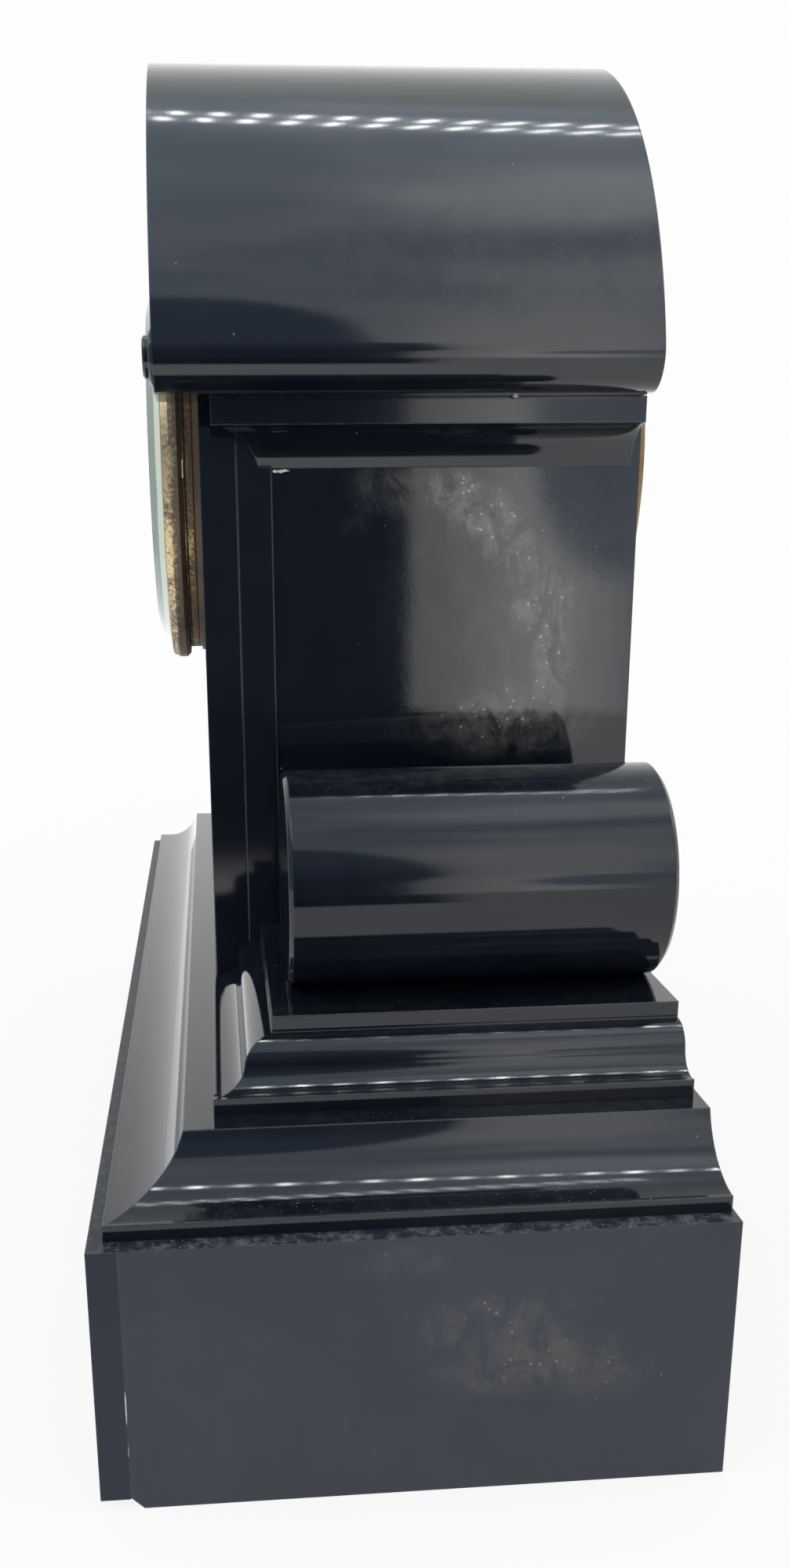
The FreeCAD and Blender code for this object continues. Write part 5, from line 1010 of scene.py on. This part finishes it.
@dataclass
class Movement:
    """The brass and steel movement, its screws and the hands."""

    finishes: Finishes
    collet: float = 3.4
    collet_bore: float = 2.05
    arbor_bore: float = 1.06
    collet_rise: float = 1.3
    screw_radius: float = 1.5
    screw_height: float = 1.0
    screw_inset: float = 1.6
    screw_slot: float = 0.4
    nut_ribs: int = 30
    nut_rib: Pair = (0.4, 0.36)

    def build(self) -> None:
        """Dresses the movement and adds its small pieces."""
        dress(self.finishes, {
            "clock_brass": (
                "movement_front_plate", "movement_back_plate", "plate_pillars", "going_barrel",
                "strike_barrel", "going_second_wheel", "centre_wheel", "third_wheel", "escape_wheel",
                "strike_second_wheel", "strike_pin_wheel", "warning_wheel", "strike_fly", "minute_wheel",
                "hour_wheel", "pallet_cock", "suspension_cock", "pendulum_rod", "pendulum_bob",
                "rating_nut", "bell_stand"),
            "aged_brass": ("movement_straps", "rear_ring", "rear_door"),
            "bell_metal": ("bell",),
            "bright_steel": ("strap_screws", "going_winding_arbor", "strike_winding_arbor", "ratchet_clicks",
                             "pallets_and_crutch", "hammer", "cannon_pinion"),
            "blued_steel": ("hour_hand", "minute_hand", "going_mainspring", "strike_mainspring",
                            "suspension_spring"),
        })
        self._collet()
        self._screws()
        self._milled_nut()

    def _collet(self) -> None:
        """The domed collet that holds the minute hand on its pipe."""
        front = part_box("minute_hand")[0][1] / MM
        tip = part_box("centre_wheel")[0][1] / MM
        rim, bore, arbor = self.collet, self.collet_bore, self.arbor_bore
        outline = (
            (bore, front), (rim, front), (rim, front - 0.25), (rim - 0.5, front - 0.8),
            (rim - 1.6, front - self.collet_rise), (arbor, tip - 0.15), (arbor, tip + 0.1),
            (bore, front - 0.1),
        )
        dome = turned(outline, middle("hour_wheel"), steps=64)
        add_piece("hand_collet", dome, "centre_arbor", self.finishes["clock_brass"])

    def _screws(self) -> None:
        """The screw heads on the cock of the pallets."""
        low, high = corners("pallet_cock")
        inset = self.screw_inset * MM
        points = [Vector((x, high.y, (low.z + high.z) / 2)) for x in (low.x + inset, high.x - inset)]
        mesh = screw_heads("cock_screws", self.finishes["blued_steel"], points, {
            "Radius": self.screw_radius * MM,
            "Height": self.screw_height * MM,
            "Slot": (self.screw_radius * 3 * MM, self.screw_slot * MM, self.screw_height * MM),
            "Seed": 4,
        })
        add_piece("cock_screws", mesh, "case")

    def _milled_nut(self) -> None:
        """The milled edge of the rating nut."""
        low, high = corners("rating_nut")
        mesh = ring_of_bars("nut_milling", self.finishes["clock_brass"], {
            "Count": self.nut_ribs,
            "Radius": (high.x - low.x) / 2,
            "Bar": (self.nut_rib[0] * MM, self.nut_rib[1] * MM, (high.z - low.z) * 0.8),
            "Every": 1000,
            "Large": UNIT,
        })
        mesh.transform(Matrix.Translation((low + high) / 2))
        add_piece("rating_nut_milling", mesh, "rating_nut")


@dataclass(frozen=True)
class LightRow:
    """A row of ceiling lights that glints along one stone."""

    stone: str
    start: Place
    end: Place
    count: int
    size: Pair
    power: float

    def places(self) -> Iterable[tuple[int, Vector]]:
        """Where the lights hang, counted from 0."""
        start, end = Vector(self.start), Vector(self.end)
        return enumerate(start.lerp(end, index / (self.count - 1)) for index in range(self.count))


@dataclass
class Studio:
    """A pale floor, a white surround that darkens behind the camera, and soft light."""

    eye: Place = (0.47276, -0.04837, 0.22074)
    yaw: float = 4.37
    pitch: float = 16.31
    roll: float = -0.63
    focal: float = 1770.59
    principal: Pair = (414.74, 1171.97)
    picture: Pair = (1006.0, 2000.0)
    floor_radius: float = 1.3
    unlit_white: float = 0.985
    dark_room: Colour = (0.05, 0.055, 0.065)
    hood_row: LightRow = LightRow("hood_arch", (-0.75, -0.23, 2.4), (-0.47, 0.73, 2.4), 15,
                                  (0.019, 0.060), 0.085)
    hood_aim: Place = (0.0, 0.0, 0.3)
    hood_pair: Place = (-0.062, 0.012, 0.0)
    aim: Place = (0.0, 0.0, 0.15)
    slab_rows: tuple[LightRow, ...] = (
        LightRow("lower_plinth_slab", (0.30, -0.28, 2.4), (-0.02, 0.97, 2.4), 16, (0.13, 0.024), 0.34),
        LightRow("upper_plinth_slab", (-0.27, -0.06, 2.4), (-0.27, 0.86, 2.4), 13, (0.26, 0.022), 0.80),
    )

    def build(self) -> None:
        """Makes the camera, the floor, the world and the lights."""
        self._camera()
        self._floor()
        self._world()
        self._ceiling_lights()
        self._area("front_light", Vector((0.5, -1.8, 1.9)), self.aim, (1.2, 1.2), 14.0)
        self._area("back_light", Vector((0.3, 1.9, 1.7)), self.aim, (1.0, 0.8), 9.0)
        bpy.context.scene.view_settings.view_transform = "Standard"

    def _camera(self) -> None:
        """A camera at the photograph's place."""
        yaw, pitch, roll = (math.radians(angle) for angle in (self.yaw, self.pitch, self.roll))
        ahead = Vector((-math.cos(yaw) * math.cos(pitch), math.sin(yaw) * math.cos(pitch), -math.sin(pitch)))
        level = Vector((math.sin(yaw), math.cos(yaw), 0.0))
        upright = level.cross(ahead)
        right = level * math.cos(roll) + upright * math.sin(roll)
        up = upright * math.cos(roll) - level * math.sin(roll)
        width, height = self.picture
        data = bpy.data.cameras.new("camera")
        data.sensor_fit = "VERTICAL"
        data.sensor_height = 36.0
        data.lens = self.focal * data.sensor_height / height
        data.shift_x = (width / 2 - self.principal[0]) / height
        data.shift_y = (self.principal[1] - height / 2) / height
        data.clip_start = 0.01
        camera = linked("camera", data)
        turn = Matrix((right, up, -ahead)).transposed().to_4x4()
        camera.matrix_world = Matrix.Translation(self.eye) @ turn
        bpy.context.scene.camera = camera

    def _floor(self) -> None:
        """A round pale floor that keeps the clock's shadow."""
        material, shader = new_material("pale_floor")
        colour = shader.mix(shader.noise(3.0, 3.0).step(0.3, 0.7), (0.86, 0.865, 0.87), (0.92, 0.92, 0.92))
        matte = shader.wire("ShaderNodeBsdfDiffuse", {"Color": colour})
        direct, mirrored, through = shader.rays()
        bright = (direct + through) * (shader.span(NOWHERE).step(0.30, 1.1) * 0.12 + 0.88)
        lit = shader.blend(bright.clamped(), matte, shader.glow(WHITE, self.unlit_white))
        lit = shader.blend(mirrored * 0.5, lit, shader.glow(WHITE, 1.9))
        east, north = (shader.here.axis(index) for index in range(2))
        room = east.step(0.50, 0.62) * (1 - north.bearing(east).step(7.0, 10.0))
        shader.end(shader.blend(mirrored * room, lit, shader.glow(self.dark_room, 1.0)))
        shape = bmesh.new()
        bmesh.ops.create_circle(shape, cap_ends=True, segments=96, radius=self.floor_radius)
        mesh = bpy.data.meshes.new("floor")
        shape.to_mesh(mesh)
        shape.free()
        mesh.materials.append(material)
        linked("floor", mesh)

    def _world(self) -> None:
        """White all round, with the dark room behind the camera for reflections only."""
        world = bpy.data.worlds.new("studio")
        world.use_nodes = True
        bpy.context.scene.world = world
        shader = Shader(world.node_tree)
        towards = shader.wire("ShaderNodeTexCoord", {}, "Generated")
        east, north, up = (towards.axis(index) for index in range(3))
        turn, lift = north.bearing(east), up.tilt()
        drift = shader.wire("ShaderNodeMapping", {"Vector": towards, "Scale": (1.0, 3.0, 6.0)})
        streaks = shader.noise(1.6, 4.0, 0.55, 0.6, drift)
        window = turn.between(12.0, 40.0, 70.0, 110.0) * lift.between(60.0, 68.0, 74.0, 84.0)
        glow = turn.between(13.0, 19.0, 28.0, 42.0) * lift.between(12.0, 26.0, 50.0, 60.0) * 0.55
        wall = turn.step(7.0, 8.0) * (1 - (turn - lift.at_least(0.0) * 0.12).step(14.2, 19.0))
        notch = ((turn - 16.2) / 3.6) ** 2.0 + ((lift - 3.0) / 5.5) ** 2.0
        wall = wall * (1 - lift.step(33.0, 48.0)) * notch.step(0.7, 1.3)
        plain = shader.mix(lift.step(3.0, 14.0), (2.9, 2.9, 2.85), (2.3, 2.3, 2.3))
        backdrop = shader.mix(lift.step(25.0, 52.0), (1.2, 1.2, 1.2), (0.84, 0.88, 0.88))
        side = ((turn + 6.0) / (lift.step(4.0, 14.0) * 1.8 + 13.9)).at_least(0.0) ** 4.0
        top = ((lift - 8.0) / 38.0).at_least(0.0) ** 3.0
        room = (1 - (side + top).step(0.93, 1.07)) * turn.step(-70.0, -45.0)
        gloom = shader.mix(lift.step(5.0, 35.0), (0.08, 0.10, 0.15), (0.28, 0.36, 0.50))
        sky = shader.layered(
            shader.mix(streaks.step(0.3, 0.7), (0.92, 1.08, 1.25), (1.36, 1.54, 1.73)),
            (window, (2.3, 2.4, 2.5)),
            (glow, (2.2, 2.25, 2.3)),
            (wall, shader.mix(turn.step(8.5, 13.0), (1.70, 1.75, 1.75), plain)),
            ((0 - north).step(0.5, 0.9), (0.50, 0.55, 0.62)),
            ((0 - east).step(0.15, 0.5) * (1 - lift.step(58.0, 66.0)), backdrop),
            (room, gloom),
        )
        direct, glossy, through = shader.rays()
        unlit = (direct + through).clamped()
        colour = shader.layered((0.80, 0.81, 0.83), (glossy, sky), (unlit, (self.unlit_white,) * 3))
        light = shader.wire("ShaderNodeBackground", {"Color": colour, "Strength": 1.0})
        shader.node("ShaderNodeOutputWorld", {"Surface": light})

    @staticmethod
    def _area(name: str, place: Vector, aim: Place, size: Pair, power: float) -> bpy.types.Object:
        """One area light.

        Args:
            name: Its name.
            place: Where it hangs.
            aim: What it points at.
            size: Its two sides.
            power: Its power in watts.

        Returns:
            The light.
        """
        data = bpy.data.lights.new(name, "AREA")
        data.shape = "RECTANGLE"
        data.size, data.size_y = size
        data.energy = power
        lamp = linked(name, data)
        turn = (place - Vector(aim)).to_track_quat("Z", "Y").to_matrix().to_4x4()
        lamp.matrix_world = Matrix.Translation(place) @ turn
        return lamp

    def _ceiling_lights(self) -> None:
        """The rows of small ceiling lights. Those of the two plinth slabs light nothing else."""
        row = self.hood_row
        for index, place in row.places():
            for side, tag in ((-1, "a"), (1, "b")):
                hung = place + Vector(self.hood_pair) * side
                self._area(f"ceiling_light_{index:02d}{tag}", hung, self.hood_aim, row.size, row.power)
        for row in self.slab_rows:
            group = bpy.data.collections.new(f"{row.stone}_lights")
            group.objects.link(bpy.data.objects[row.stone])
            for index, place in row.places():
                name, below = f"{row.stone}_light_{index:02d}", (place.x, place.y, 0.0)
                power = row.power * (0.45 + 0.25 * (index * 7 % 5))
                lamp = self._area(name, place, below, row.size, power)
                lamp.light_linking.receiver_collection = group


def main() -> None:
    """Builds the clock and its studio in order."""
    logging.basicConfig(level=logging.INFO, format="%(name)s: %(message)s")
    finishes = {finish.name: finish.build() for finish in FINISHES}
    for assembly in (StoneCase(finishes), Bezel(finishes), Dial(finishes), Movement(finishes)):
        LOG.info("building %s", type(assembly).__name__)
        assembly.build()
    Studio().build()


if __name__ == "__main__":
    main()
